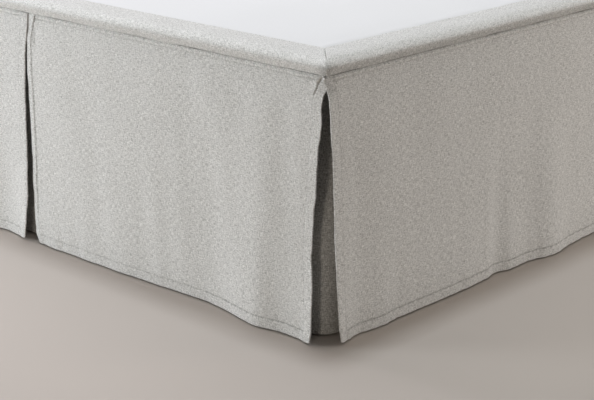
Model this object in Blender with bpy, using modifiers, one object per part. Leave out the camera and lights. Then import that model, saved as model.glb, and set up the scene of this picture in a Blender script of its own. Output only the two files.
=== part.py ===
"""Tailored bed skirt on a plain bed base.

A white deck lies flat on the base, a linen border is mitred round it on three sides and
rolls over the edge to a waist seam, and six hemmed linen panels hang from that seam to just
above the floor. The panels part at the two foot corners and in the middle of each side, and
a separate linen insert hangs behind every split. The head end is open.

Metres, +Z up. The origin lies on the floor, under the middle of the whole object. The foot
end faces -Y.
"""

import math
from collections import namedtuple

import bmesh
import bpy
from mathutils import Vector

# Driving dimensions of the bed and its skirt.
WIDTH = 1.400           # over the two side faces of the skirt
LENGTH = 2.000          # from the foot face to the head end
TOP = 0.4385            # floor to the top of the deck
HEM = 0.0025            # floor to the hem of the panels
FOOT_SWING = 0.020      # how far the foot panels swing out past the foot face
FOOT_Y = (FOOT_SWING - LENGTH) / 2
HEAD_Y = FOOT_Y + LENGTH
GAP = 0.0003            # between two pieces that are sewn or laid together

# Cloth.
PANEL_THICK = 0.0015
INSERT_THICK = 0.0012
BORDER_THICK = 0.0015
DECK_THICK = 0.0012

# Border: flat on top, rolled over the edge and tucked in to the waist seam.
BORDER_WIDTH = 0.063    # from the face in to the deck
WAIST_DROP = 0.026      # from the top down to the waist seam
WAIST_TUCK = 0.0092     # how far the seam lies inside the face
WAIST = TOP - WAIST_DROP

# The border's arcs, from the flat top down. turn: degrees below level where it ends; steps: facets.
Arc = namedtuple("Arc", "radius turn steps")
BORDER_ARCS = (
    Arc(0.1500, 7.0, 1),
    Arc(0.0175, 60.0, 4),
    Arc(0.0055, 129.0, 3),
)

# Panels.
UPPER_DROPS = (GAP, 0.010, 0.035, 0.075)    # rows near the seam, below it; the rest stand evenly
PANEL_ROWS = 7
FOLD_GROWTH = 1.35      # power by which a fold grows downwards
SPRINGS = ((0.0016, 0.0036), (0.0074, 0.0700))  # out from the seam by the first, over the second down
COLUMN_PITCH = 0.019
END_PITCH = 0.3         # how much closer the columns stand at a panel's ends

# Inserts behind the splits.
INSERT_REACH = 0.120    # to each side of a straight split
CORNER_WIDTH = 0.290    # of a corner insert's cloth
INSERT_HEM = 0.0030     # floor to the hem of an insert
CORNER_SKEW = 0.0045    # how much nearer to its first wall a corner insert's hem hangs
SKEW_FROM = 0.280       # height where the skew starts
SKEW_REACH = 0.200

# One row of an insert. inset: inside the walls' faces; bend: its radius where it turns a corner.
Hang = namedtuple("Hang", "height inset bend")
INSERT_HANG = (
    Hang(WAIST - GAP, 0.0110, 0.003),
    Hang(0.4065, 0.0110, 0.050),
    Hang(0.3945, 0.0110, 0.100),
    Hang(0.3465, 0.0111, 0.115),
    Hang(0.2665, 0.0112, 0.115),
    Hang(0.1465, 0.0133, 0.065),
    Hang(0.0700, 0.0140, 0.053),
    Hang(INSERT_HEM, 0.0145, 0.045),
)

# Base.
BASE_INSET = 0.0130
BASE_DEPTH = 0.160
BASE_CORNER = 0.120     # at the foot end, behind the bend of the corner inserts
BASE_HEAD_CORNER = 0.050
BASE_EDGE = 0.040
BASE_HEAD_INSET = 0.003
BASE_TOP = TOP - BORDER_THICK - GAP
BASE_BOTTOM = BASE_TOP - BASE_DEPTH

# Legs.
LEG_TOP_RADIUS = 0.030
LEG_FOOT_RADIUS = 0.021
LEG_SPREAD = 0.600      # from the middle line
LEG_FROM_END = 0.120
LEG_SIDES = 20

# Three walls run round the bed from the head on the left, past the foot, to the head on the right.
Wall = namedtuple("Wall", "start along out length")
HALF = WIDTH / 2
LEFT = Wall(Vector((-HALF, HEAD_Y, 0)), Vector((0, -1, 0)), Vector((-1, 0, 0)), LENGTH)
FOOT = Wall(Vector((-HALF, FOOT_Y, 0)), Vector((1, 0, 0)), Vector((0, -1, 0)), WIDTH)
RIGHT = Wall(Vector((HALF, FOOT_Y, 0)), Vector((0, 1, 0)), Vector((1, 0, 0)), LENGTH)

# A fold is a soft vertical swell that grows from its rise down to the hem.
# at: along the panel; half: its half width; swing: outwards at the hem; rise: height where it dies out.
Fold = namedtuple("Fold", "at half swing rise")

# One point of a panel's side edge. height: above the floor; inset: from the panel's nominal end.
Edge = namedtuple("Edge", "height inset")

# start and end: along the wall; lean: how far the whole hem hangs out from the face.
Panel = namedtuple("Panel", "name wall start end lean near far folds")

SPLIT_NEAR = (
    Edge(0.4125, 0.0005),
    Edge(0.3505, 0.0006),
    Edge(0.1705, 0.0045),
    Edge(0.0565, 0.0040),
    Edge(HEM, 0.0050),
)
SPLIT_FAR = (
    Edge(0.4125, 0.0005),
    Edge(0.3505, 0.0013),
    Edge(0.1705, 0.0090),
    Edge(0.0565, 0.0110),
    Edge(0.0165, 0.0130),
    Edge(HEM, 0.0190),
)
FOOT_SPLIT_FAR = (
    Edge(0.4125, 0.0005),
    Edge(0.3505, 0.0013),
    Edge(0.2625, 0.0050),
    Edge(0.2080, 0.0051),
    Edge(0.1710, 0.0028),
    Edge(0.1445, 0.0019),
    Edge(0.0890, 0.0016),
    Edge(0.0340, 0.0083),
    Edge(0.0025, 0.0140),
)
CORNER_NEAR = (
    Edge(0.4125, 0.0010),
    Edge(0.4025, 0.0047),
    Edge(0.3775, 0.0076),
    Edge(0.3375, 0.0058),
    Edge(0.2500, 0.0112),
    Edge(0.1700, 0.0114),
    Edge(0.0860, 0.0125),
    Edge(HEM, 0.0175),
)
CORNER_FAR = (
    Edge(0.4125, 0.0166),
    Edge(0.4025, 0.0120),
    Edge(0.3775, 0.0129),
    Edge(0.3375, 0.0108),
    Edge(0.2500, 0.0184),
    Edge(0.1700, 0.0235),
    Edge(0.0860, 0.0196),
    Edge(HEM, 0.0203),
)
HEAD_EDGE = (
    Edge(0.4125, 0.0010),
    Edge(0.2265, 0.0030),
    Edge(HEM, 0.0060),
)

PANELS = (
    Panel("panel_left_head", LEFT, 0.0, 1.0, 0.0105, HEAD_EDGE, SPLIT_FAR, (
        Fold(0.020, 0.050, 0.0040, 0.24),
        Fold(0.210, 0.080, -0.0060, 0.38),
        Fold(0.370, 0.050, 0.0040, 0.34),
        Fold(0.560, 0.070, -0.0050, 0.30),
        Fold(0.740, 0.050, 0.0070, 0.40),
        Fold(0.860, 0.045, -0.0050, 0.30),
        Fold(0.985, 0.060, 0.0055, 0.24),
    )),
    Panel("panel_left_foot", LEFT, 1.0, 2.0, 0.0105, SPLIT_NEAR, CORNER_FAR, (
        Fold(0.040, 0.060, 0.0030, 0.34),
        Fold(0.230, 0.050, -0.0070, 0.34),
        Fold(0.345, 0.048, 0.0130, 0.38),
        Fold(0.470, 0.060, -0.0030, 0.28),
        Fold(0.640, 0.070, 0.0030, 0.40),
        Fold(0.800, 0.055, -0.0060, 0.34),
        Fold(0.970, 0.050, 0.0050, 0.26),
    )),
    Panel("panel_foot_left", FOOT, 0.0, 0.6915, 0.0120, CORNER_NEAR, FOOT_SPLIT_FAR, (
        Fold(0.015, 0.040, 0.0040, 0.24),
        Fold(0.150, 0.060, -0.0060, 0.34),
        Fold(0.270, 0.050, 0.0040, 0.38),
        Fold(0.420, 0.080, -0.0090, 0.36),
        Fold(0.560, 0.050, 0.0040, 0.38),
        Fold(0.620, 0.035, -0.0030, 0.28),
        Fold(0.690, 0.045, 0.0080, 0.26),
    )),
    Panel("panel_foot_right", FOOT, 0.6915, 1.4, 0.0120, SPLIT_NEAR, CORNER_FAR, (
        Fold(0.004, 0.025, -0.0040, 0.12),
        Fold(0.0835, 0.045, 0.0020, 0.34),
        Fold(0.2935, 0.055, -0.0025, 0.34),
        Fold(0.3835, 0.110, -0.0070, 0.40),
        Fold(0.4585, 0.075, -0.0095, 0.38),
        Fold(0.5565, 0.055, 0.0058, 0.42),
        Fold(0.5835, 0.038, 0.0054, 0.48),
        Fold(0.6405, 0.030, -0.0022, 0.38),
        Fold(0.6935, 0.032, 0.0060, 0.24),
    )),
    Panel("panel_right_foot", RIGHT, 0.0, 1.0, 0.0105, CORNER_NEAR, SPLIT_FAR, (
        Fold(0.015, 0.030, 0.0035, 0.24),
        Fold(0.064, 0.036, -0.0038, 0.40),
        Fold(0.118, 0.030, 0.0018, 0.30),
        Fold(0.155, 0.022, -0.0015, 0.30),
        Fold(0.233, 0.035, 0.0010, 0.30),
        Fold(0.338, 0.035, 0.0022, 0.32),
        Fold(0.418, 0.036, -0.0090, 0.34),
        Fold(0.565, 0.068, 0.0130, 0.36),
        Fold(0.625, 0.050, 0.0035, 0.30),
        Fold(0.790, 0.070, -0.0050, 0.34),
        Fold(0.975, 0.060, 0.0060, 0.24),
    )),
    Panel("panel_right_head", RIGHT, 1.0, 2.0, 0.0105, SPLIT_NEAR, HEAD_EDGE, (
        Fold(0.060, 0.060, 0.0030, 0.32),
        Fold(0.240, 0.070, -0.0070, 0.40),
        Fold(0.400, 0.050, 0.0060, 0.34),
        Fold(0.590, 0.080, -0.0040, 0.30),
        Fold(0.760, 0.050, 0.0070, 0.40),
        Fold(0.880, 0.050, -0.0050, 0.32),
        Fold(0.985, 0.040, 0.0040, 0.24),
    )),
)

# A straight insert hangs behind a split between two panels of one wall.
Insert = namedtuple("Insert", "name wall middle")
INSERTS = (
    Insert("insert_left", LEFT, 1.0),
    Insert("insert_foot", FOOT, 0.7),
    Insert("insert_right", RIGHT, 1.0),
)

# A corner insert bends from one wall round to the next.
CornerInsert = namedtuple("CornerInsert", "name before after")
CORNER_INSERTS = (
    CornerInsert("insert_corner_left", LEFT, FOOT),
    CornerInsert("insert_corner_right", FOOT, RIGHT),
)

# Finishes. color: linear RGB.
Finish = namedtuple("Finish", "name color roughness")
LINEN = Finish("greige_linen", (0.67, 0.66, 0.64), 0.95)
DECK_CLOTH = Finish("white_deck_cotton", (0.80, 0.81, 0.82), 0.9)
BASE_COVER = Finish("pale_base_cover", (0.62, 0.60, 0.57), 0.9)
LEG_WOOD = Finish("leg_beech", (0.52, 0.36, 0.22), 0.5)


def clear_scene():
    """Take every object out of the scene."""
    for thing in list(bpy.data.objects):
        bpy.data.objects.remove(thing, do_unlink=True)


def make_material(finish):
    """A matt Principled material for one finish."""
    material = bpy.data.materials.new(finish.name)
    material.use_nodes = True
    shader = material.node_tree.nodes["Principled BSDF"]
    shader.inputs["Base Color"].default_value = (*finish.color, 1)
    shader.inputs["Roughness"].default_value = finish.roughness
    shader.inputs["Metallic"].default_value = 0
    return material


def add_object(name, shape, collection, material, smooth=True):
    """Turn a bmesh into a named object with its material."""
    mesh = bpy.data.meshes.new(name)
    shape.to_mesh(mesh)
    shape.free()
    if smooth:
        mesh.shade_smooth()
        mesh.set_sharp_from_angle(angle=math.radians(40))
    mesh.materials.append(material)
    thing = bpy.data.objects.new(name, mesh)
    collection.objects.link(thing)
    return thing


def smooth_step(share):
    """0 below 0, 1 above 1 and a smooth rise between."""
    share = min(max(share, 0), 1)
    return share * share * (3 - 2 * share)


def wall_point(wall, along, out, height):
    """A point at a distance along a wall, out from its face and above the floor."""
    return wall.start + wall.along * along + wall.out * out + Vector((0, 0, height))


def edge_inset(edges, height):
    """How far a side edge lies inside its nominal end at a height."""
    for upper, lower in zip(edges, edges[1:]):
        if height >= lower.height:
            share = (upper.height - height) / (upper.height - lower.height)
            return upper.inset + (lower.inset - upper.inset) * smooth_step(share)
    return edges[-1].inset


def fold_swing(fold, at, height):
    """How far one fold pushes the cloth out."""
    reach = abs(at - fold.at) / fold.half
    if reach >= 1 or height >= fold.rise:
        return 0
    swell = (1 + math.cos(math.pi * reach)) / 2
    growth = ((fold.rise - height) / (fold.rise - HEM)) ** FOLD_GROWTH
    return fold.swing * swell * growth


def panel_out(panel, at, height):
    """How far a panel's outer face stands out from its wall's face."""
    drop = WAIST - height
    spring = sum(give * smooth_step(drop / reach) for give, reach in SPRINGS) - WAIST_TUCK
    lean = panel.lean * drop / (WAIST - HEM)
    return spring + lean + sum(fold_swing(fold, at, height) for fold in panel.folds)


def end_crowded(share, crowding):
    """Shares from 0 to 1 that stand closer together at both ends."""
    return share - crowding * math.sin(2 * math.pi * share) / (2 * math.pi)


def panel_height(row_share):
    """Heights of a panel's rows: a few near the seam, the rest evenly down to the hem."""
    row = round(row_share * PANEL_ROWS)
    last = len(UPPER_DROPS) - 1
    if row <= last:
        return WAIST - UPPER_DROPS[row]
    rest = WAIST - UPPER_DROPS[last] - HEM
    return HEM + rest * (PANEL_ROWS - row) / (PANEL_ROWS - last)


def cloth_sheet(name, columns, rows, place, thickness, collection, material):
    """A sheet whose outer face is place(share along, share down), thickened inwards."""
    shape = bmesh.new()
    bmesh.ops.create_grid(shape, x_segments=columns, y_segments=rows, size=0.5)
    for vert in shape.verts:
        vert.co = place(vert.co.x + 0.5, 0.5 - vert.co.y)
    thing = add_object(name, shape, collection, material)
    solidify = thing.modifiers.new("cloth thickness", "SOLIDIFY")
    solidify.thickness = thickness
    solidify.offset = -1
    solidify.use_even_offset = True
    return thing


def add_panel(panel, collection, material):
    """One hemmed panel, hanging from the waist seam in its folds."""
    span = panel.end - panel.start
    columns = round(span / COLUMN_PITCH)

    def place(share_along, share_down):
        height = panel_height(share_down)
        near = edge_inset(panel.near, height)
        far = span - edge_inset(panel.far, height)
        at = near + (far - near) * end_crowded(share_along, END_PITCH)
        return wall_point(panel.wall, panel.start + at, panel_out(panel, at, height), height)

    return cloth_sheet(panel.name, columns, PANEL_ROWS, place, PANEL_THICK, collection, material)


def insert_row(share_down):
    """The row of the insert table at a share of the rows."""
    return INSERT_HANG[round(share_down * (len(INSERT_HANG) - 1))]


def add_insert(insert, collection, material):
    """A straight insert behind a split."""

    def place(share_along, share_down):
        row = insert_row(share_down)
        along = insert.middle + INSERT_REACH * (2 * share_along - 1)
        return wall_point(insert.wall, along, -row.inset, row.height)

    return cloth_sheet(insert.name, 4, len(INSERT_HANG) - 1, place, INSERT_THICK, collection, material)


def corner_path(insert, share_along, first, second, radius):
    """A point on a corner insert's plan: straight, round the corner on an arc, straight.

    first and second are how far it hangs inside the faces of the two walls.
    """
    straight = (CORNER_WIDTH - radius * math.pi / 2) / 2
    third = 1 / 3
    if share_along <= third:
        along = insert.before.length - second - radius - straight * (1 - share_along / third)
        return wall_point(insert.before, along, -first, 0)
    if share_along >= 1 - third:
        along = first + radius + straight * (1 - (1 - share_along) / third)
        return wall_point(insert.after, along, -second, 0)
    centre = wall_point(insert.after, first + radius, -second - radius, 0)
    turn = (share_along - third) / third * math.pi / 2
    return centre + (insert.before.out * math.cos(turn) + insert.after.out * math.sin(turn)) * radius


def add_corner_insert(insert, collection, material):
    """An insert that bends round a corner, tight at the seam, widest above and tighter to its hem."""

    def place(share_along, share_down):
        row = insert_row(share_down)
        skew = CORNER_SKEW * smooth_step((SKEW_FROM - row.height) / SKEW_REACH)
        point = corner_path(insert, share_along, row.inset - skew, row.inset + skew, row.bend)
        point.z = row.height
        return point

    return cloth_sheet(insert.name, 15, len(INSERT_HANG) - 1, place, INSERT_THICK, collection, material)


def border_outline():
    """The border's outer side from the deck to the waist seam, as (out, height, turn) places."""
    start, widest = 0.0, 0.0
    for arc in BORDER_ARCS:
        end = math.radians(arc.turn)
        widest += arc.radius * (math.sin(min(end, math.pi / 2)) - math.sin(start))
        start = end
    out, height, turn = -widest, TOP, 0.0
    places = [(-BORDER_WIDTH + GAP / 2, TOP, 0.0), (out, height, turn)]
    for arc in BORDER_ARCS:
        step = (math.radians(arc.turn) - turn) / arc.steps
        for _ in range(arc.steps):
            out += arc.radius * (math.sin(turn + step) - math.sin(turn))
            height -= arc.radius * (math.cos(turn) - math.cos(turn + step))
            turn += step
            places.append((out, height, turn))
    tail = (height - WAIST - GAP / 2) / math.sin(turn)
    places.append((out + tail * math.cos(turn), WAIST + GAP / 2, turn))
    return places


def border_section():
    """The border's closed cross-section as (out, height) pairs: outer side down, inner side back up."""
    places = border_outline()
    outer = [(out, height) for out, height, turn in places]
    inner = [(out - BORDER_THICK * math.sin(turn), height - BORDER_THICK * math.cos(turn))
             for out, height, turn in places]
    return outer + inner[::-1]


def add_border(name, wall, mitred_start, mitred_end, collection, material):
    """A border strip: its section run along a wall, mitred where it meets the next strip."""
    shape = bmesh.new()
    section = border_section()
    mitre_gap = GAP * math.sqrt(0.5)
    ends = []
    for at_end in (False, True):
        ring = []
        for out, height in section:
            mitred = mitred_end if at_end else mitred_start
            trim = mitre_gap - out if mitred else 0
            along = wall.length - trim if at_end else trim
            ring.append(shape.verts.new(wall_point(wall, along, out, height)))
        ends.append([shape.edges.new(pair) for pair in zip(ring, ring[1:] + ring[:1])])
    bmesh.ops.bridge_loops(shape, edges=ends[0] + ends[1])
    bmesh.ops.edgeloop_fill(shape, edges=ends[0])
    bmesh.ops.edgeloop_fill(shape, edges=ends[1])
    bmesh.ops.recalc_face_normals(shape, faces=shape.faces)
    return add_object(name, shape, collection, material)


def add_deck(collection, material):
    """The flat white deck inside the border, out to the head end."""
    side = HALF - BORDER_WIDTH - GAP / 2
    foot = FOOT_Y + BORDER_WIDTH + GAP / 2
    shape = bmesh.new()
    bmesh.ops.create_cube(shape, size=1)
    bmesh.ops.scale(shape, vec=(2 * side, HEAD_Y - foot, DECK_THICK), verts=shape.verts)
    centre = (0, (HEAD_Y + foot) / 2, TOP - DECK_THICK / 2)
    bmesh.ops.translate(shape, vec=centre, verts=shape.verts)
    return add_object("deck", shape, collection, material, smooth=False)


def add_base(collection, material):
    """The plain covered bed base with rounded corners and a soft top edge."""
    foot = FOOT_Y + BASE_INSET
    head = HEAD_Y - BASE_HEAD_INSET
    shape = bmesh.new()
    bmesh.ops.create_cube(shape, size=1)
    size = (WIDTH - 2 * BASE_INSET, head - foot, BASE_DEPTH)
    centre = (0, (head + foot) / 2, BASE_TOP - BASE_DEPTH / 2)
    bmesh.ops.scale(shape, vec=size, verts=shape.verts)
    bmesh.ops.translate(shape, vec=centre, verts=shape.verts)
    for at_foot, rounding in ((True, BASE_CORNER), (False, BASE_HEAD_CORNER)):
        upright = [edge for edge in shape.edges
                   if edge.verts[0].co.xy == edge.verts[1].co.xy and (edge.verts[0].co.y < 0) == at_foot]
        bmesh.ops.bevel(shape, geom=upright, offset=rounding, offset_type="OFFSET", segments=5,
                        profile=0.5, affect="EDGES", clamp_overlap=True)
    level = BASE_TOP - GAP / 2
    rim = [edge for edge in shape.edges if all(vert.co.z > level for vert in edge.verts)]
    bmesh.ops.bevel(shape, geom=rim, offset=BASE_EDGE, offset_type="OFFSET", segments=3,
                    profile=0.5, affect="EDGES", clamp_overlap=True)
    bmesh.ops.recalc_face_normals(shape, faces=shape.faces)
    return add_object("bed_base", shape, collection, material)


def add_leg(number, x, y, collection, material):
    """One turned leg, tapering to its foot on the floor."""
    shape = bmesh.new()
    height = BASE_BOTTOM - GAP
    bmesh.ops.create_cone(shape, cap_ends=True, cap_tris=False, segments=LEG_SIDES,
                          radius1=LEG_FOOT_RADIUS, radius2=LEG_TOP_RADIUS, depth=height)
    bmesh.ops.translate(shape, vec=(0, 0, height / 2), verts=shape.verts)
    leg = add_object(f"leg_{number}", shape, collection, material)
    leg.location = (x, y, 0)
    return leg


def main():
    clear_scene()
    collection = bpy.data.collections.new("bed_skirt_on_base")
    bpy.context.scene.collection.children.link(collection)
    linen = make_material(LINEN)
    deck_cloth = make_material(DECK_CLOTH)
    base_cover = make_material(BASE_COVER)
    leg_wood = make_material(LEG_WOOD)

    add_base(collection, base_cover)
    rows = (FOOT_Y + LEG_FROM_END, (FOOT_Y + HEAD_Y) / 2, HEAD_Y - LEG_FROM_END)
    places = [(side * LEG_SPREAD, y) for y in rows for side in (-1, 1)]
    for number, (x, y) in enumerate(places, start=1):
        add_leg(number, x, y, collection, leg_wood)

    add_deck(collection, deck_cloth)
    add_border("border_left", LEFT, False, True, collection, linen)
    add_border("border_foot", FOOT, True, True, collection, linen)
    add_border("border_right", RIGHT, True, False, collection, linen)
    for panel in PANELS:
        add_panel(panel, collection, linen)
    for insert in INSERTS:
        add_insert(insert, collection, linen)
    for insert in CORNER_INSERTS:
        add_corner_insert(insert, collection, linen)


main()
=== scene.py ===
"""A tailored linen bed skirt on its bed base.

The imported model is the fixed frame, and each of its pieces is replaced here by a finished one:
linen panels with hems, stitch lines, folds and creases, a rolled and mitred border, a white deck,
inserts behind the splits, a covered base and turned legs.

Metres, +Z up. The foot end faces -Y. On every cloth, "along" runs level and "down" runs down it.
"""

import logging
import math
from dataclasses import dataclass
from enum import Enum
from functools import partial
from typing import Callable, NamedTuple, Optional, Sequence, Union

import bmesh
import bpy
import numpy as np
from mathutils import Matrix, Vector


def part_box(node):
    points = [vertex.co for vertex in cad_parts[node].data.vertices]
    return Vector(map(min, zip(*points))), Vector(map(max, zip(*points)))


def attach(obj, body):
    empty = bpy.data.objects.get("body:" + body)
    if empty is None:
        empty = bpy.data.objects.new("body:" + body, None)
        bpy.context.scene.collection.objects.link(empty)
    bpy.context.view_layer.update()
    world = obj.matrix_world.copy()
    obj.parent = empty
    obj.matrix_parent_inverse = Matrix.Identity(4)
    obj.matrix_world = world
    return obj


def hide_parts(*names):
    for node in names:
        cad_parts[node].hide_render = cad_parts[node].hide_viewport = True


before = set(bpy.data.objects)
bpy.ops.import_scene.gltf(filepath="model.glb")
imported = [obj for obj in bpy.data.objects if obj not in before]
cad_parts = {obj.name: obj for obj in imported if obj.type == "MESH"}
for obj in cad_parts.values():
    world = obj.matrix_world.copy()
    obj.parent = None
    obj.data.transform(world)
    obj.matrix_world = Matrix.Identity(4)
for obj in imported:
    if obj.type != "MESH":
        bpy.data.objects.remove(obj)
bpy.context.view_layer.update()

log = logging.getLogger("bed_skirt")

Array = np.ndarray
Surface = Callable[[Array, Array], Array]
Color = tuple[float, float, float]
Place = tuple[float, float, float]
Table = tuple[tuple[float, float], ...]     # rows of a height and the measure there, from the top down
Span = tuple[float, float]                  # a length of cloth and the largest pitch of stations in it
Mesh = bpy.types.Mesh
Material = bpy.types.Material
Piece = bpy.types.Object
Socket = bpy.types.NodeSocket
Term = Union["Value", float]

CLOTH_UV = "cloth"      # UV map of every cloth, in metres along and down it
PAINTED_SHADE = "shade"         # painted shade on a cloth's colour: 0 on open cloth, 1 in the bottom of a stitch line

# Sewing, the same on every linen piece.
SIDE_HEM = 0.018        # from a side edge to its stitch line
BOTTOM_HEM = 0.016      # from the hem up to its stitch line
TOPSTITCH = 0.007       # from the waist seam down to its stitch line
HEM_TURN = 0.009        # cloth turned in under a hem, past its width
SEAM_ALLOWANCE = 0.012
SEAM_GAP = 0.0001       # between two pieces that are sewn together
CLOTH_THICK = 0.0011
HEM_THICK = 0.0021
HEM_PAST = 0.001        # how far a hem's double cloth reaches past its stitch line
HEM_STEP = 0.0015       # over which it falls to the single cloth there
SWELL_STEP = 0.002      # over which the face of a hem falls to the plain face
DIP = 0.0012            # half width of the dip along a stitch line


# ---------------------------------------------------------------- small maths

def smooth_step(share: Array) -> Array:
    """Return 0 below 0, 1 above 1 and a smooth rise between."""
    share = np.clip(share, 0.0, 1.0)
    return share * share * (3.0 - 2.0 * share)


def soft_line(distance: Array, half: float) -> Array:
    """Return 1 on a line, falling softly to about 0 at twice its half width."""
    return np.exp(-((distance / half) ** 2))


def graded(whole: float, first: Sequence[Span], pitch: float, last: Sequence[Span]) -> Array:
    """Lay out stations over a length of cloth, with finer spans at its ends.

    Args:
        whole: the length.
        first: spans from the start.
        pitch: the largest pitch between the spans.
        last: spans up to the end.

    Returns:
        The distance of each station from the start.
    """
    middle = whole - sum(length for length, _ in (*first, *last))
    marks = [0.0]
    for length, largest in (*first, (middle, pitch), *last):
        steps = max(1, math.ceil(length / largest - 1e-6))
        start = marks[-1]
        marks += [start + length * step / steps for step in range(1, steps + 1)]
    return np.array(marks)


def read_down(table: Table, height: Array) -> Array:
    """Read a table at given heights, easing from row to row.

    Args:
        table: the table.
        height: heights above the floor.

    Returns:
        The table's measure at each height.
    """
    measure = np.full_like(height, table[0][1])
    for (top, upper), (bottom, lower) in zip(table, table[1:]):
        share = smooth_step((top - height) / (top - bottom))
        measure = np.where(height < top, upper + (lower - upper) * share, measure)
    return measure


@dataclass(frozen=True)
class Cockle:
    """The seeded unevenness of a cloth, as a sum of waves of random direction."""

    seed: int
    height: float
    shortest: float
    longest: float
    upright: float = 1.0    # above 1 the waves run down the cloth more than along it
    waves: int = 12

    def at(self, along: Array, down: Array) -> Array:
        """Work out the waves.

        Args:
            along: metres along the cloth.
            down: metres down it.

        Returns:
            How far the cloth stands out at each place.
        """
        random = np.random.default_rng(self.seed)
        total = np.zeros_like(along)
        for _ in range(self.waves):
            turn = random.uniform(0, math.pi)
            length = random.uniform(self.shortest, self.longest)
            start = random.uniform(0, 2 * math.pi)
            across = along * math.cos(turn) + down * math.sin(turn) / self.upright
            total += np.sin(2 * math.pi * across / length + start)
        return total * self.height / math.sqrt(self.waves / 2)


# ---------------------------------------------------------------- the bed's measures

class Side(Enum):
    """A side of the bed that the skirt hangs on."""

    LEFT = "left"
    FOOT = "foot"
    RIGHT = "right"


@dataclass(frozen=True)
class Bed:
    """The driving measures of the bed, read from the fixed frame."""

    half: float
    foot: float
    head: float
    top: float
    waist: float
    hem: float
    insert_hem: float
    border: float

    @classmethod
    def from_frame(cls) -> "Bed":
        """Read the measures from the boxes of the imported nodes."""
        _, deck_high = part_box("deck")
        border_low, border_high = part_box("border_right")
        foot_low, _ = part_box("border_foot")
        panel_low, panel_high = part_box("panel_foot_right")
        insert_low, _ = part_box("insert_foot")
        return cls(
            half=border_high.x,
            foot=foot_low.y,
            head=border_high.y,
            top=deck_high.z,
            waist=(border_low.z + panel_high.z) / 2,
            hem=panel_low.z,
            insert_hem=insert_low.z,
            border=border_high.x - deck_high.x,
        )

    @property
    def fall(self) -> float:
        """How far the panels hang, from the waist seam to their hem."""
        return self.waist - self.hem

    def wall(self, side: Side) -> "Wall":
        """Lay out a wall. The three run from the head on the left round to the head on the right.

        Args:
            side: the wall's side of the bed.

        Returns:
            The wall.
        """
        length = self.head - self.foot
        if side is Side.LEFT:
            return Wall((-self.half, self.head), (0.0, -1.0), (-1.0, 0.0), length)
        if side is Side.FOOT:
            return Wall((-self.half, self.foot), (1.0, 0.0), (0.0, -1.0), 2 * self.half)
        return Wall((self.half, self.foot), (0.0, 1.0), (1.0, 0.0), length)


@dataclass(frozen=True)
class Wall:
    """One upright face of the bed. Before its start it carries on round the corner."""

    start: tuple[float, float]
    along: tuple[float, float]
    out: tuple[float, float]
    length: float
    corner_radius: float = 0.0025

    def points(self, along: Array, out: Array, height: Array) -> Array:
        """Place points by their distance along the wall, out from it and above the floor.

        Args:
            along: metres along the wall; below 0 a point lies round the corner.
            out: metres out from the wall's face.
            height: metres above the floor.

        Returns:
            An array of points, with their coordinates in the last axis.
        """
        radius = self.corner_radius
        turn = np.clip((radius - along) / radius, 0.0, math.pi / 2)
        past = np.maximum(radius - math.pi / 2 * radius - along, 0.0)
        straight = np.maximum(along, radius)
        level = straight - (radius + out) * np.sin(turn)
        depth = -radius - past + (radius + out) * np.cos(turn)
        return self.sharp_points(level, depth, height)

    def sharp_points(self, along: Array, out: Array, height: Array) -> Array:
        """Place points in the same way as points(), but with the wall's corner left sharp.

        Args:
            along: metres along the wall, and straight on before its start.
            out: metres out from the wall's face.
            height: metres above the floor.

        Returns:
            An array of points, with their coordinates in the last axis.
        """
        x = self.start[0] + along * self.along[0] + out * self.out[0]
        y = self.start[1] + along * self.along[1] + out * self.out[1]
        return np.stack([x, y, height + np.zeros_like(x)], axis=-1)


# ---------------------------------------------------------------- materials

class Value:
    """A number socket that takes part in plain arithmetic, each step adding a Math node."""

    def __init__(self, graph: "Graph", socket: Socket) -> None:
        """Wrap a socket of a graph."""
        self.graph = graph
        self.socket = socket

    def _math(self, operation: str, *terms: Term) -> "Value":
        """Add a Math node.

        Args:
            operation: what it does.
            terms: its inputs in order.

        Returns:
            Its result.
        """
        inputs = {index: term for index, term in enumerate(terms)}
        node = self.graph.node("ShaderNodeMath", {"operation": operation}, inputs)
        return Value(self.graph, node.outputs[0])

    def __add__(self, other: Term) -> "Value":
        """Return self + other."""
        return self._math("ADD", self, other)

    def __radd__(self, other: float) -> "Value":
        """Return other + self."""
        return self._math("ADD", other, self)

    def __sub__(self, other: Term) -> "Value":
        """Return self - other."""
        return self._math("SUBTRACT", self, other)

    def __mul__(self, other: Term) -> "Value":
        """Return self * other."""
        return self._math("MULTIPLY", self, other)


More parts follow.
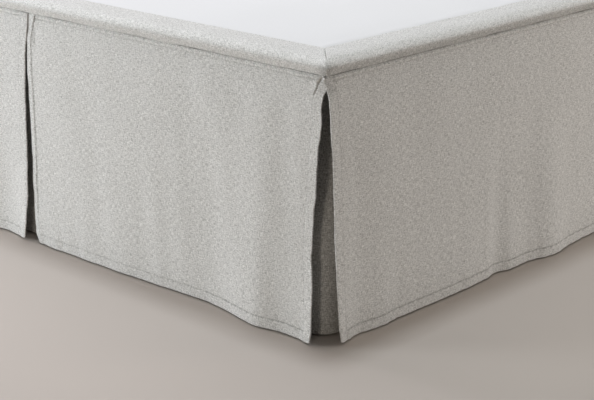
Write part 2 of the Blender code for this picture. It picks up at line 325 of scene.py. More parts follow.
class Graph:
    """The nodes of one material, around its Principled shader."""

    def __init__(self, name: str) -> None:
        """Start a material with a Principled shader.

        Args:
            name: the material's name.
        """
        self.material = bpy.data.materials.new(name)
        self.material.use_nodes = True
        self.tree = self.material.node_tree
        self.shader = self.tree.nodes["Principled BSDF"]

    def node(self, kind: str, settings: Optional[dict] = None,
             inputs: Optional[dict] = None) -> bpy.types.Node:
        """Add a node.

        Args:
            kind: the node's type.
            settings: its own properties, set before its sockets.
            inputs: what its sockets get: a number, a colour, a socket or a Value, by name or index.

        Returns:
            The node.
        """
        made = self.tree.nodes.new(kind)
        for key, setting in (settings or {}).items():
            setattr(made, key, setting)
        for key, term in (inputs or {}).items():
            self.feed(made.inputs[key], term)
        return made

    def feed(self, socket: Socket, term: object) -> None:
        """Give an input what it gets.

        Args:
            socket: the input.
            term: a socket or a Value to link, or a number or colour to set.
        """
        if isinstance(term, Value):
            term = term.socket
        if isinstance(term, Socket):
            self.tree.links.new(term, socket)
        else:
            socket.default_value = term

    def shade(self, inputs: dict) -> None:
        """Set sockets of the Principled shader."""
        for key, term in inputs.items():
            self.feed(self.shader.inputs[key], term)

    def shading(self) -> Value:
        """Return the shade painted on a place of a cloth, 0 to 1."""
        return Value(self, self.node("ShaderNodeAttribute", {"attribute_name": PAINTED_SHADE}).outputs["Fac"])

    def cloth_place(self) -> Socket:
        """Return the place on a cloth, in metres along and down it."""
        return self.node("ShaderNodeUVMap", {"uv_map": CLOTH_UV}).outputs["UV"]

    def object_place(self) -> Socket:
        """Return the place in the object's own coordinates."""
        return self.node("ShaderNodeTexCoord").outputs["Object"]

    def noise(self, place: Socket, scale: Place, detail: float = 2.0,
              roughness: float = 0.5, offset: Place = (0.0, 0.0, 0.0)) -> Value:
        """Return noise, stretched by a scale for each axis.

        Args:
            place: where the pattern lies.
            scale: how many features there are to a metre on each axis.
            detail: how many finer layers it has.
            roughness: how strong those layers are.
            offset: where the pattern starts.

        Returns:
            A value from 0 to 1, about 0.5 on average.
        """
        mapping = self.node("ShaderNodeMapping", {"vector_type": "POINT"},
                            {"Vector": place, "Scale": scale, "Location": offset})
        sockets = {"Vector": mapping.outputs["Vector"], "Scale": 1.0, "Detail": detail,
                   "Roughness": roughness}
        made = self.node("ShaderNodeTexNoise", {"noise_dimensions": "3D"}, sockets)
        return Value(self, made.outputs["Fac"])

    def mix(self, factor: Value, low: Color, high: Color) -> Socket:
        """Mix two colours.

        Args:
            factor: 0 for the low colour to 1 for the high one.
            low: the colour at 0.
            high: the colour at 1.

        Returns:
            The socket of the mixed colour.
        """
        made = self.node("ShaderNodeMix", {"data_type": "RGBA", "clamp_factor": True}, {0: factor})
        made.inputs[6].default_value = (*low, 1.0)
        made.inputs[7].default_value = (*high, 1.0)
        return made.outputs[2]

    def bump(self, height: Value, strength: float, distance: float) -> Socket:
        """Return a normal that is roughened by a height."""
        sockets = {"Height": height, "Strength": strength, "Distance": distance}
        return self.node("ShaderNodeBump", None, sockets).outputs["Normal"]


@dataclass(frozen=True)
class Finish:
    """A finish that lies between a dark and a pale colour, by a pattern."""

    name: str
    slot: str
    dark: Color
    pale: Color

    def dressed(self, graph: Graph, factor: Value, roughness: Term,
                others: Optional[dict] = None) -> Material:
        """Set the shader of a material.

        Args:
            graph: the material's nodes.
            factor: the pattern, from 0 for dark to 1 for pale.
            roughness: the roughness.
            others: what further sockets get.

        Returns:
            The material.
        """
        color = graph.mix(factor, self.dark, self.pale)
        graph.shade({"Base Color": color, "Roughness": roughness, "Metallic": 0.0, **(others or {})})
        return graph.material


@dataclass(frozen=True)
class Linen(Finish):
    """Greige linen: pale and darker fibres, thick and thin in both directions of the weave."""

    name: str = "greige_linen"
    slot: str = "linen"
    dark: Color = (0.290, 0.285, 0.270)
    pale: Color = (0.950, 0.945, 0.920)
    middle: float = 0.58        # how far from dark to pale the cloth is on average
    threads: float = 1.40       # how strongly single threads show
    grain: float = 0.95
    mottle: float = 0.10
    painted_crease_shade: float = 0.40  # how far the painted shade takes a stitch line or crease towards dark

    def material(self) -> Material:
        """Return the material, whose weave follows the cloth's own UV map."""
        graph = Graph(self.name)
        place = graph.cloth_place()
        warp = graph.noise(place, (700.0, 120.0, 1.0), detail=3.0, roughness=0.65)
        weft = graph.noise(place, (120.0, 700.0, 1.0), detail=3.0, roughness=0.65, offset=(31.0, 7.0, 3.0))
        grain = graph.noise(place, (480.0, 480.0, 1.0), detail=1.0, offset=(5.0, 17.0, 9.0))
        mottle = graph.noise(place, (9.0, 9.0, 1.0), detail=3.0, offset=(2.0, 3.0, 1.0))
        threads = (warp + weft - 1.0) * self.threads
        fibre = self.middle + threads + (grain - 0.5) * self.grain + (mottle - 0.5) * self.mottle
        normal = graph.bump(warp + weft + grain * 0.5, strength=0.60, distance=0.0006)
        # Painted shade from the cloth's shade attribute darkens the fibre in stitch lines and creases.
        return self.dressed(graph, fibre - graph.shading() * self.painted_crease_shade, 0.92, {
            "Normal": normal, "Specular IOR Level": 0.25, "Sheen Weight": 0.12, "Sheen Roughness": 0.5})


@dataclass(frozen=True)
class DeckCotton(Finish):
    """Plain white cotton with a close, even weave."""

    name: str = "white_deck_cotton"
    slot: str = "deck_cloth"
    dark: Color = (0.638, 0.640, 0.651)
    pale: Color = (0.857, 0.857, 0.863)
    middle: float = 0.74
    threads: float = 0.30
    painted_crease_shade: float = 0.45

    def material(self) -> Material:
        """Return the material."""
        graph = Graph(self.name)
        place = graph.cloth_place()
        warp = graph.noise(place, (1100.0, 200.0, 1.0))
        weft = graph.noise(place, (200.0, 1100.0, 1.0), offset=(11.0, 5.0, 2.0))
        # Painted shade darkens the deck's colour along its seams and hem line.
        fibre = self.middle + (warp + weft - 1.0) * self.threads - graph.shading() * self.painted_crease_shade
        normal = graph.bump(warp + weft, strength=0.2, distance=0.0003)
        return self.dressed(graph, fibre, 0.9, {"Normal": normal, "Specular IOR Level": 0.25})


@dataclass(frozen=True)
class SewingThread(Finish):
    """Matt sewing thread in the linen's colour."""

    name: str = "linen_thread"
    slot: str = "linen"
    dark: Color = (0.360, 0.340, 0.310)
    pale: Color = (0.620, 0.600, 0.560)

    def material(self) -> Material:
        """Return the material."""
        graph = Graph(self.name)
        twist = graph.noise(graph.object_place(), (1500.0, 1500.0, 1500.0), detail=1.0)
        return self.dressed(graph, twist, 0.7)


@dataclass(frozen=True)
class BaseCover(Finish):
    """The plain woven cover of the bed base."""

    name: str = "pale_base_cover"
    slot: str = "base_cover"
    dark: Color = (0.420, 0.400, 0.370)
    pale: Color = (0.700, 0.680, 0.650)
    middle: float = 0.62
    threads: float = 0.90
    mottle: float = 0.12

    def material(self) -> Material:
        """Return the material, whose weave runs with the base's own axes."""
        graph = Graph(self.name)
        place = graph.object_place()
        level = graph.noise(place, (90.0, 90.0, 900.0))
        upright = graph.noise(place, (700.0, 700.0, 70.0), offset=(3.0, 8.0, 5.0))
        mottle = graph.noise(place, (5.0, 5.0, 5.0), detail=3.0)
        fibre = self.middle + (level + upright - 1.0) * self.threads + (mottle - 0.5) * self.mottle
        normal = graph.bump(level + upright, strength=0.4, distance=0.0008)
        return self.dressed(graph, fibre, 0.9, {"Normal": normal, "Specular IOR Level": 0.25})


@dataclass(frozen=True)
class LegWood(Finish):
    """Oiled beech with its grain running up the leg."""

    name: str = "leg_beech"
    slot: str = "leg_wood"
    dark: Color = (0.330, 0.190, 0.095)
    pale: Color = (0.640, 0.450, 0.270)
    middle: float = 0.55
    rings: float = 1.3
    flecks: float = 0.5
    smooth: float = 0.38        # the roughness of the wood, and how much its flecks add to it
    rougher: float = 0.2

    def material(self) -> Material:
        """Return the material."""
        graph = Graph(self.name)
        place = graph.object_place()
        rings = graph.noise(place, (70.0, 70.0, 5.0), detail=4.0, roughness=0.6)
        flecks = graph.noise(place, (900.0, 900.0, 110.0), detail=1.0, offset=(4.0, 4.0, 4.0))
        fibre = self.middle + (rings - 0.5) * self.rings + (flecks - 0.5) * self.flecks
        normal = graph.bump(rings + flecks * 0.6, strength=0.15, distance=0.0005)
        roughness = self.smooth + flecks * self.rougher
        return self.dressed(graph, fibre, roughness, {"Normal": normal, "Coat Weight": 0.08})


@dataclass(frozen=True)
class FeltPad(Finish):
    """Grey felt under a leg."""

    name: str = "leg_felt"
    slot: str = "leg_wood"
    dark: Color = (0.06, 0.06, 0.065)
    pale: Color = (0.20, 0.20, 0.21)

    def material(self) -> Material:
        """Return the material."""
        graph = Graph(self.name)
        fluff = graph.noise(graph.object_place(), (900.0, 900.0, 900.0), detail=3.0)
        normal = graph.bump(fluff, strength=0.5, distance=0.0006)
        return self.dressed(graph, fluff, 0.98, {"Normal": normal})


@dataclass(frozen=True)
class FloorPaint:
    """The plain pale floor under the bed."""

    name: str = "studio_floor"
    color: Color = (0.544, 0.492, 0.450)
    mottle: float = 0.015       # how far the colour varies to each side, as a share of it

    def material(self) -> Material:
        """Return the material."""
        graph = Graph(self.name)
        tone = graph.noise(graph.object_place(), (1.3, 1.3, 1.3))
        low = tuple((1 - self.mottle) * part for part in self.color)
        high = tuple((1 + self.mottle) * part for part in self.color)
        return Finish(self.name, "", low, high).dressed(graph, tone, 0.8, {"Specular IOR Level": 0.2})


class Dressing(NamedTuple):
    """A material and the record's slot that it belongs to."""

    material: Material
    slot: str


@dataclass(frozen=True)
class Finishes:
    """Every material of the bed, made once."""

    linen: Dressing
    deck: Dressing
    thread: Dressing
    base: Dressing
    wood: Dressing
    felt: Dressing

    @classmethod
    def made(cls) -> "Finishes":
        """Make the materials."""
        finishes = (Linen(), DeckCotton(), SewingThread(), BaseCover(), LegWood(), FeltPad())
        return cls(*(Dressing(finish.material(), finish.slot) for finish in finishes))


# ---------------------------------------------------------------- making pieces

def to_mesh(shape: bmesh.types.BMesh, name: str) -> Mesh:
    """Turn a shape into a mesh and free the shape.

    Args:
        shape: the shape.
        name: the mesh's name.

    Returns:
        The mesh.
    """
    mesh = bpy.data.meshes.new(name)
    shape.to_mesh(mesh)
    shape.free()
    return mesh


def put(name: str, data: bpy.types.ID) -> Piece:
    """Put data in the scene.

    Args:
        name: the new object's name.
        data: its mesh, light or camera.

    Returns:
        The object.
    """
    made = bpy.data.objects.new(name, data)
    bpy.context.scene.collection.objects.link(made)
    return made


def add_piece(name: str, mesh: Mesh, dressing: Dressing) -> Piece:
    """Put a mesh in the scene as a smooth-shaded piece that rides with the bed.

    Args:
        name: the piece's name.
        mesh: its mesh, already in place.
        dressing: its material, with the record's slot of that.

    Returns:
        The new object.
    """
    material, slot = dressing
    mesh.name = name
    mesh.materials.append(material)
    mesh.shade_smooth()
    piece = put(name, mesh)
    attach(piece, "root")
    log.info("%s: %d faces", name, len(mesh.polygons))
    return piece


def surface_normals(points: Array) -> Array:
    """Find which way a grid of points faces.

    Args:
        points: the face's point at each station.

    Returns:
        The outward normal at each station.
    """
    down, along = np.gradient(points, axis=(0, 1))
    normal = np.cross(down, along)
    return normal / np.linalg.norm(normal, axis=-1, keepdims=True)


def doubled(distance: Array, hem: float) -> Array:
    """Return 1 in a hem's double cloth and 0 past it, by the distance from the hem's edge."""
    return 1 - smooth_step((distance - hem - HEM_PAST) / HEM_STEP)


def linen_back(face: Array, hem: Array) -> Array:
    """Return the back of a linen cloth's face, thicker where hem is 1."""
    thick = CLOTH_THICK + (HEM_THICK - CLOTH_THICK) * hem
    return face - surface_normals(face) * thick[..., None]


@dataclass(frozen=True)
class Sheet:
    """A closed sheet of cloth: a grid of stations on its face side and the same on its back.

    The stations are metres along and down the cloth. The rim between face and back is rounded.
    """

    name: str
    along: Array
    down: Array
    rounding: float = 0.0004

    def stations(self) -> tuple[Array, Array]:
        """Return the grid of stations as two arrays, a row of the grid in each row."""
        along, down = np.meshgrid(self.along, self.down)
        return along, down

    def _slab(self) -> Mesh:
        """Make the closed sheet as a flat slab, with attributes for each vertex's station and side."""
        columns, rows = len(self.along) - 1, len(self.down) - 1
        shape = bmesh.new()
        bmesh.ops.create_grid(shape, x_segments=columns, y_segments=rows, size=0.5)
        station = shape.verts.layers.int.new("station")
        back = shape.verts.layers.int.new("back")
        for vert in shape.verts:
            row = round((0.5 - vert.co.y) * rows)
            vert[station] = row * (columns + 1) + round((0.5 + vert.co.x) * columns)
        whole = shape.verts[:] + shape.edges[:] + shape.faces[:]
        copied = bmesh.ops.extrude_face_region(shape, geom=whole, use_keep_orig=True)["geom"]
        backs = [item for item in copied if isinstance(item, bmesh.types.BMVert)]
        for vert in backs:
            vert[back] = 1
        bmesh.ops.translate(shape, vec=(0.0, 0.0, -0.1), verts=backs)
        bmesh.ops.recalc_face_normals(shape, faces=shape.faces)
        weight = shape.edges.layers.float.new("bevel_weight_edge")
        for edge in shape.edges:
            turned = edge.calc_face_angle(0.0) > math.pi / 4
            across = edge.verts[0][back] != edge.verts[1][back]
            edge[weight] = 1.0 if turned and not across else 0.0
        return to_mesh(shape, self.name)

    @staticmethod
    def _taken(mesh: Mesh, name: str) -> Array:
        """Take an attribute off a mesh's vertices.

        Args:
            mesh: the mesh.
            name: the attribute's name.

        Returns:
            The whole number at each vertex.
        """
        numbers = np.zeros(len(mesh.vertices), dtype=np.int32)
        mesh.attributes[name].data.foreach_get("value", numbers)
        mesh.attributes.remove(mesh.attributes[name])
        return numbers

    def build(self, face: Array, back: Array, shade: Array, dressing: Dressing) -> Piece:
        """Make the piece.

        Args:
            face: points of the face side at each station.
            back: points of the back.
            shade: the shade painted at each station, 0 to 1.
            dressing: the finish.

        Returns:
            The finished object.
        """
        mesh = self._slab()
        stations, on_back = self._taken(mesh, "station"), self._taken(mesh, "back")
        fronts, backs = face.reshape(-1, 3)[stations], back.reshape(-1, 3)[stations]
        points = np.where(on_back[:, None] == 1, backs, fronts)
        mesh.vertices.foreach_set("co", points.astype(np.float32).ravel())
        places = np.stack(self.stations(), axis=-1).reshape(-1, 2)
        corners = np.zeros(len(mesh.loops), dtype=np.int32)
        mesh.loops.foreach_get("vertex_index", corners)
        uv = mesh.uv_layers.new(name=CLOTH_UV)
        uv.data.foreach_set("uv", places[stations[corners]].astype(np.float32).ravel())
        # The painted shade goes on each vertex as an attribute.
        tone = mesh.attributes.new(PAINTED_SHADE, "FLOAT", "POINT")
        tone.data.foreach_set("value", shade.ravel()[stations].astype(np.float32))
        mesh.update()
        piece = add_piece(self.name, mesh, dressing)
        rim = piece.modifiers.new("rounded rim", "BEVEL")
        rim.width = self.rounding
        rim.segments = 2
        rim.limit_method = "WEIGHT"
        rim.material = -1
        return piece


@dataclass(frozen=True)
class Line:
    """A straight stitch line in a cloth's own measures."""

    start: tuple[float, float]
    end: tuple[float, float]


@dataclass(frozen=True)
class Stitching:
    """Machine stitches: small capsules of thread, sunk in their stitch line."""

    pitch: float = 0.0036
    length: float = 0.0027
    width: float = 0.00055
    sink: float = 0.0001
    step: float = 0.0005    # between the places on the cloth that give a stitch its directions

    def _capsule(self) -> tuple[Array, Array]:
        """Return the points and triangles of one stitch, its length along X."""
        shape = bmesh.new()
        bmesh.ops.create_icosphere(shape, subdivisions=1, radius=0.5)
        bmesh.ops.scale(shape, vec=(self.length, self.width, self.width), verts=shape.verts)
        shape.verts.index_update()
        points = np.array([vert.co[:] for vert in shape.verts])
        faces = np.array([[vert.index for vert in face.verts] for face in shape.faces])
        shape.free()
        return points, faces

    def _frames(self, surface: Surface, line: Line) -> tuple[Array, Array, Array, Array]:
        """Lay the stitches of a line on a cloth.

        Args:
            surface: where the cloth's face lies at a place along and down it.
            line: the stitch line.

        Returns:
            The middle of each stitch, and its directions along the line, to the side and outwards.
        """
        (along_0, down_0), (along_1, down_1) = line.start, line.end
        run = math.hypot(along_1 - along_0, down_1 - down_0)
        share = (np.arange(int(run / self.pitch)) + 0.5) * self.pitch / run
        along = along_0 + (along_1 - along_0) * share
        down = down_0 + (down_1 - down_0) * share
        ahead = self.step / run
        middle = surface(along, down)
        heading = surface(along + (along_1 - along_0) * ahead, down + (down_1 - down_0) * ahead) - middle
        heading /= np.linalg.norm(heading, axis=-1, keepdims=True)
        out = np.cross(surface(along, down + self.step) - middle, surface(along + self.step, down) - middle)
        out /= np.linalg.norm(out, axis=-1, keepdims=True)
        return middle, heading, np.cross(out, heading), out

    def sew(self, name: str, surface: Surface, lines: Sequence[Line], dressing: Dressing) -> Piece:
        """Sew lines of stitches on a cloth.

        Args:
            name: the new piece's name.
            surface: where the cloth's face lies at a place along and down it.
            lines: the stitch lines.
            dressing: the thread's finish.

        Returns:
            One object with every stitch.
        """
        capsule, triangles = self._capsule()
        points, faces, count = [], [], 0
        for line in lines:
            middle, heading, side, out = self._frames(surface, line)
            local = capsule[None, :, :]
            placed = (middle - out * self.sink)[:, None, :] + local[..., 0:1] * heading[:, None, :]
            placed = placed + local[..., 1:2] * side[:, None, :] + local[..., 2:3] * out[:, None, :]
            starts = count + np.arange(len(middle)) * len(capsule)
            points.append(placed.reshape(-1, 3))
            faces.append((triangles[None, :, :] + starts[:, None, None]).reshape(-1, 3))
            count += len(middle) * len(capsule)
        mesh = bpy.data.meshes.new(name)
        mesh.from_pydata(np.concatenate(points).tolist(), [], np.concatenate(faces).tolist())
        return add_piece(name, mesh, dressing)


class Cloth:
    """A cloth whose face is found at any place along and down it."""

    name: str

    def face(self, bed: Bed, along: Array, down: Array) -> Array:
        """Return points of the face at places along and down the cloth."""
        raise NotImplementedError

    def stitched(self, bed: Bed, finishes: Finishes, *lines: Line) -> Piece:
        """Sew lines of stitches on the face."""
        return Stitching().sew(f"stitches_{self.name}", partial(self.face, bed), lines, finishes.thread)


# ---------------------------------------------------------------- panels

class Dip(NamedTuple):
    """The form of a dip along a stitch line, or of a ridge where its depth is below 0, and the shade
    painted in it.
    """

    half: float         # its half width
    depth: float
    shade: float        # how much shade is painted in it


class Fold(NamedTuple):
    """A soft swell that grows from its rise down to the hem."""

    at: float       # along the panel
    half: float     # its half width
    swing: float    # outwards at the hem
    rise: float     # the height where it dies out


# How a crease fades at its start and end: over what share of its run, and how much of it the tip has.
CREASE_START = (0.12, 0.5)
CREASE_END = (0.25, 0.3)


class Crease(NamedTuple):
    """A short straight crease, pressed in where depth is above 0 and raised where it is below."""

    along: float        # one end
    down: float
    to_along: float     # the other end
    to_down: float
    half: float         # its half width
    depth: float
    shade: float = 0.0  # shade painted in its bottom

    def press(self, along: Array, down: Array) -> Array:
        """Work out where the crease is.

        Args:
            along: metres along the cloth.
            down: metres down it.

        Returns:
            How much of the crease there is at each place, 0 to 1.
        """
        run_along, run_down = self.to_along - self.along, self.to_down - self.down
        run = math.hypot(run_along, run_down)
        level, fall = (along - self.along) / run, (down - self.down) / run
        share = (level * run_along + fall * run_down) / run
        apart = np.abs(level * run_down - fall * run_along)
        (start, started), (end, ended) = CREASE_START, CREASE_END
        fade = smooth_step(share / start + started) * smooth_step((1.0 - share) / end + ended)
        return soft_line(apart, self.half) * fade


# How far a panel's side edge lies inside the panel's start or end, at a height. A split opens between
# the far edge of one panel and the near edge of the next.
SPLIT_NEAR = (
    (0.4125, 0.0001), (0.3555, 0.0001), (0.3405, 0.0008), (0.1705, 0.0045), (0.0565, 0.0040),
    (0.0025, 0.0050),
)
SPLIT_FAR = (
    (0.4125, 0.0001), (0.3555, 0.0001), (0.3405, 0.0016), (0.1705, 0.0090), (0.0565, 0.0110),
    (0.0165, 0.0130), (0.0025, 0.0190),
)
FOOT_SPLIT_FAR = (
    (0.4125, 0.0001), (0.3555, 0.0001), (0.3405, 0.0016), (0.2625, 0.0050), (0.2080, 0.0051),
    (0.1710, 0.0028), (0.1445, 0.0019), (0.0890, 0.0016), (0.0340, 0.0083), (0.0025, 0.0140),
)
CORNER_NEAR = (
    (0.4125, 0.0006), (0.4055, 0.0034), (0.3965, 0.0068), (0.3845, 0.0078), (0.3645, 0.0069),
    (0.3505, 0.0057), (0.3405, 0.0056), (0.3305, 0.0063), (0.2915, 0.0102), (0.2465, 0.0112),
    (0.2075, 0.0123), (0.1665, 0.0113), (0.1145, 0.0119), (0.0585, 0.0132), (0.0265, 0.0138),
    (0.0025, 0.0175),
)
CORNER_FAR = (
    (0.4125, 0.0166), (0.404, 0.0118), (0.3985, 0.0081), (0.394, 0.0081), (0.3885, 0.0109),
    (0.3835, 0.0128), (0.3645, 0.0130), (0.3505, 0.0107), (0.3435, 0.0101), (0.3295, 0.0120),
    (0.2975, 0.0163), (0.2755, 0.0178), (0.2365, 0.0187), (0.2105, 0.0222), (0.1665, 0.0235),
    (0.1335, 0.0250), (0.1125, 0.0208), (0.0585, 0.0183), (0.0215, 0.0175), (0.0025, 0.0203),
)
HEAD_EDGE = (
    (0.4125, 0.0010), (0.2265, 0.0030), (0.0025, 0.0060),
)

# How far a side hem is turned in behind its stitch line, at a height.
NOT_TURNED = ((0.4125, 0.0), (0.0025, 0.0))
SPLIT_TURN = (
    (0.4125, 0.0010), (0.3865, 0.0030), (0.3265, 0.0025), (0.1705, 0.0035), (0.0025, 0.0050),
)
CORNER_TURN = (
    (0.4125, 0.0015), (0.3985, 0.0030), (0.3815, 0.0010), (0.3465, 0.0), (0.0025, 0.0),
)


@dataclass(frozen=True)
class Panel(Cloth):
    """A hemmed linen panel that hangs from the waist seam."""

    name: str
    side: Side
    start: float
    end: float
    lean: float
    near: Table
    far: Table
    seed: int
    folds: tuple[Fold, ...]
    creases: tuple[Crease, ...] = ()
    near_turn: Table = NOT_TURNED
    far_turn: Table = NOT_TURNED
    near_lift: float = 0.002    # how far the bottom corners are rounded up
    far_lift: float = 0.002
    hem_press: tuple[float, float] = (0.75, 0.75)   # how deep the hem's line is, and how strong its painted shade, at the near and far ends

    waist_tuck: float = 0.0092  # how far the seam lies inside the face
    # How far the cloth springs out below the seam, and over what fall.
    springs: tuple[tuple[float, float], ...] = ((0.0016, 0.0036), (0.0074, 0.0700))
    edge_reach: float = 0.150   # how far an edge's inset is felt along the cloth
    fold_growth: float = 1.35   # above 1 a fold grows the faster the nearer the hem
    lift_along: float = 0.016   # how far a corner's lift reaches along the cloth, and up it
    lift_up: float = 0.035

    hem_swell: float = 0.0005   # how far the hems' double cloth stands out
    # Dips along the stitch lines and the ridge: half width, depth, and painted shade.
    side_dip: Dip = Dip(DIP, 0.0006, 0.42)
    hem_dip: Dip = Dip(DIP, 0.0009, 1.0)
    waist_dip: Dip = Dip(0.0013, 0.0009, 0.75)
    waist_ridge: Dip = Dip(0.0020, -0.0014, 0.0)
    ridge_down: float = 0.0030  # where the ridge between seam and topstitch lies
    side_start: float = 0.008   # below the seam, where the side lines are at their full depth
    slack: float = 0.60         # how much the waist's line loses away from the sides, and how far from them
    slack_reach: float = 0.060
    press_from: float = 0.50    # share of the width where hem_press starts to change, and over how much
    press_over: float = 0.25
    pucker_waist: float = 0.020  # how far the puckers reach from the waist's, the hem's and the side lines
    pucker_hem: float = 0.018
    pucker_side: float = 0.012
    cockle_start: float = 0.06  # below the seam, where the cockles are at their full height

    side_span: Span = (0.026, 0.0013)
    waist_spans: tuple[Span, ...] = ((0.012, 0.001), (0.036, 0.003))
    hem_span: Span = (0.022, 0.0013)
    pitch_along: float = 0.0075
    pitch_down: float = 0.009
    stitch_start: float = 0.004  # below the seam, where the side stitches begin

    @property
    def width(self) -> float:
        """The panel's finished width."""
        return self.end - self.start

    def _sewn(self, along: Array, down: Array, fall: float) -> tuple[Array, Array]:
        """Work out hems, seam and stitch lines.

        Args:
            along: metres along the cloth.
            down: metres down it.
            fall: the panel's length down.

        Returns:
            How far the face stands out, and the shade painted in the stitch lines.
        """
        inside = np.minimum(along, self.width - along) - SIDE_HEM
        above = fall - down - BOTTOM_HEM
        between = smooth_step(inside / SWELL_STEP + 0.5)
        tight = between * (1 - self.slack * smooth_step(inside / self.slack_reach))
        first, last = self.hem_press
        onward = smooth_step((along / self.width - self.press_from) / self.press_over)
        pressed = first + (last - first) * onward
        lines = (
            (self.side_dip, inside, smooth_step(down / self.side_start)),
            (self.hem_dip, above, between * pressed),
            (self.waist_dip, down - TOPSTITCH, tight),
            (self.waist_ridge, down - self.ridge_down, tight),
        )
        sunk, shade = np.zeros_like(along), np.zeros_like(along)
        for dip, distance, strength in lines:
            line = soft_line(distance, dip.half) * strength
            sunk = sunk + dip.depth * line
            shade = np.maximum(shade, dip.shade * line)
        swell = self.hem_swell * (1 - smooth_step(np.minimum(inside, above) / SWELL_STEP))
        return swell - sunk, shade

    def _puckers(self, along: Array, down: Array, fall: float) -> Array:
        """Work out the small puckers that the stitch lines draw in the cloth.

        Args:
            along: metres along the cloth.
            down: metres down it.
            fall: the panel's length down.

        Returns:
            How far the face stands out.
        """
        level = Cockle(self.seed + 50, height=0.00035, shortest=0.014, longest=0.034, waves=8)
        upright = Cockle(self.seed + 60, height=0.00025, shortest=0.012, longest=0.030, waves=8)
        inside = np.minimum(along, self.width - along) - SIDE_HEM
        below_waist = soft_line(np.maximum(down - TOPSTITCH, 0.0), self.pucker_waist)
        above_hem = soft_line(np.maximum(fall - down - BOTTOM_HEM, 0.0), self.pucker_hem)
        beside = soft_line(np.maximum(inside, 0.0), self.pucker_side)
        nowhere = np.zeros_like(along)
        return level.at(along, nowhere) * (below_waist + above_hem) + upright.at(nowhere, down) * beside

    def relief(self, along: Array, down: Array, fall: float) -> tuple[Array, Array]:
        """Work out everything finer than the folds.

        Args:
            along: metres along the cloth.
            down: metres down it.
            fall: the panel's length down.

        Returns:
            How far the face stands out, and the shade painted in creases and stitch lines.
        """
        out, shade = self._sewn(along, down, fall)
        coarse = Cockle(self.seed, height=0.0006, shortest=0.070, longest=0.190, upright=2.2)
        fine = Cockle(self.seed + 20, height=0.00022, shortest=0.022, longest=0.060, upright=1.5)
        out = out + self._puckers(along, down, fall)
        out = out + coarse.at(along, down) * smooth_step(down / self.cockle_start) + fine.at(along, down)
        for crease in self.creases:
            press = crease.press(along, down)
            out = out - crease.depth * press
            shade = np.maximum(shade, crease.shade * press)
        return out, np.clip(shade, 0.0, 1.0)

    def face(self, bed: Bed, along: Array, down: Array) -> Array:
        """Find the panel's face.

        Args:
            bed: the bed's measures.
            along: metres along the panel.
            down: metres down it from the waist seam.

        Returns:
            The points.
        """
        fall = bed.fall
        left = self.width - along
        plumb = bed.waist - SEAM_GAP / 2 - down * (1 - SEAM_GAP / 2 / fall)
        low = 1.0 - smooth_step((plumb - bed.hem) / self.lift_up)
        lift = self.near_lift * np.maximum(1 - along / self.lift_along, 0) ** 2
        lift = lift + self.far_lift * np.maximum(1 - left / self.lift_along, 0) ** 2
        height = plumb + lift * low
        at = along + read_down(self.near, height) * (1 - smooth_step(along / self.edge_reach))
        at = at - read_down(self.far, height) * (1 - smooth_step(left / self.edge_reach))
        out = self.lean * down / fall - self.waist_tuck
        for give, reach in self.springs:
            out = out + give * smooth_step(down / reach)
        for fold in self.folds:
            reach = np.clip(np.abs(at - fold.at) / fold.half, 0.0, 1.0)
            growth = np.clip((fold.rise - height) / (fold.rise - bed.hem), 0.0, 1.0) ** self.fold_growth
            out = out + fold.swing * (1 + np.cos(math.pi * reach)) / 2 * growth
        out = out - read_down(self.near_turn, height) * np.clip(1 - along / SIDE_HEM, 0, 1)
        out = out - read_down(self.far_turn, height) * np.clip(1 - left / SIDE_HEM, 0, 1)
        out = out + self.relief(along, down, fall)[0]
        return bed.wall(self.side).points(self.start + at, out, height)

    def build(self, bed: Bed, finishes: Finishes, hangs_from: str) -> Piece:
        """Make the panel with its stitching.

        Args:
            bed: the bed's measures.
            finishes: the materials.
            hangs_from: the border piece that it is sewn to; not used.

        Returns:
            The panel's object.
        """
        fall = bed.fall
        sheet = Sheet(
            f"{self.name}_cloth",
            graded(self.width, [self.side_span], self.pitch_along, [self.side_span]),
            graded(fall, self.waist_spans, self.pitch_down, [self.hem_span]),
        )
        along, down = sheet.stations()
        face = self.face(bed, along, down)
        edge = np.minimum(along, self.width - along)
        hem = np.maximum(doubled(edge, SIDE_HEM), doubled(fall - down, BOTTOM_HEM))
        # Painted shade in the creases and stitch lines.
        shade = self.relief(along, down, fall)[1]
        piece = sheet.build(face, linen_back(face, hem), shade, finishes.linen)
        near, far = SIDE_HEM, self.width - SIDE_HEM
        high, low = self.stitch_start, fall - BOTTOM_HEM
        stitches = self.stitched(bed, finishes, Line((near, TOPSTITCH), (far, TOPSTITCH)),
                                 Line((near, low), (far, low)), Line((near, high), (near, low)),
                                 Line((far, high), (far, low)))
        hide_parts(self.name)
        cut = (self.width + 2 * (SIDE_HEM + HEM_TURN), fall + BOTTOM_HEM + HEM_TURN + SEAM_ALLOWANCE)
        return piece


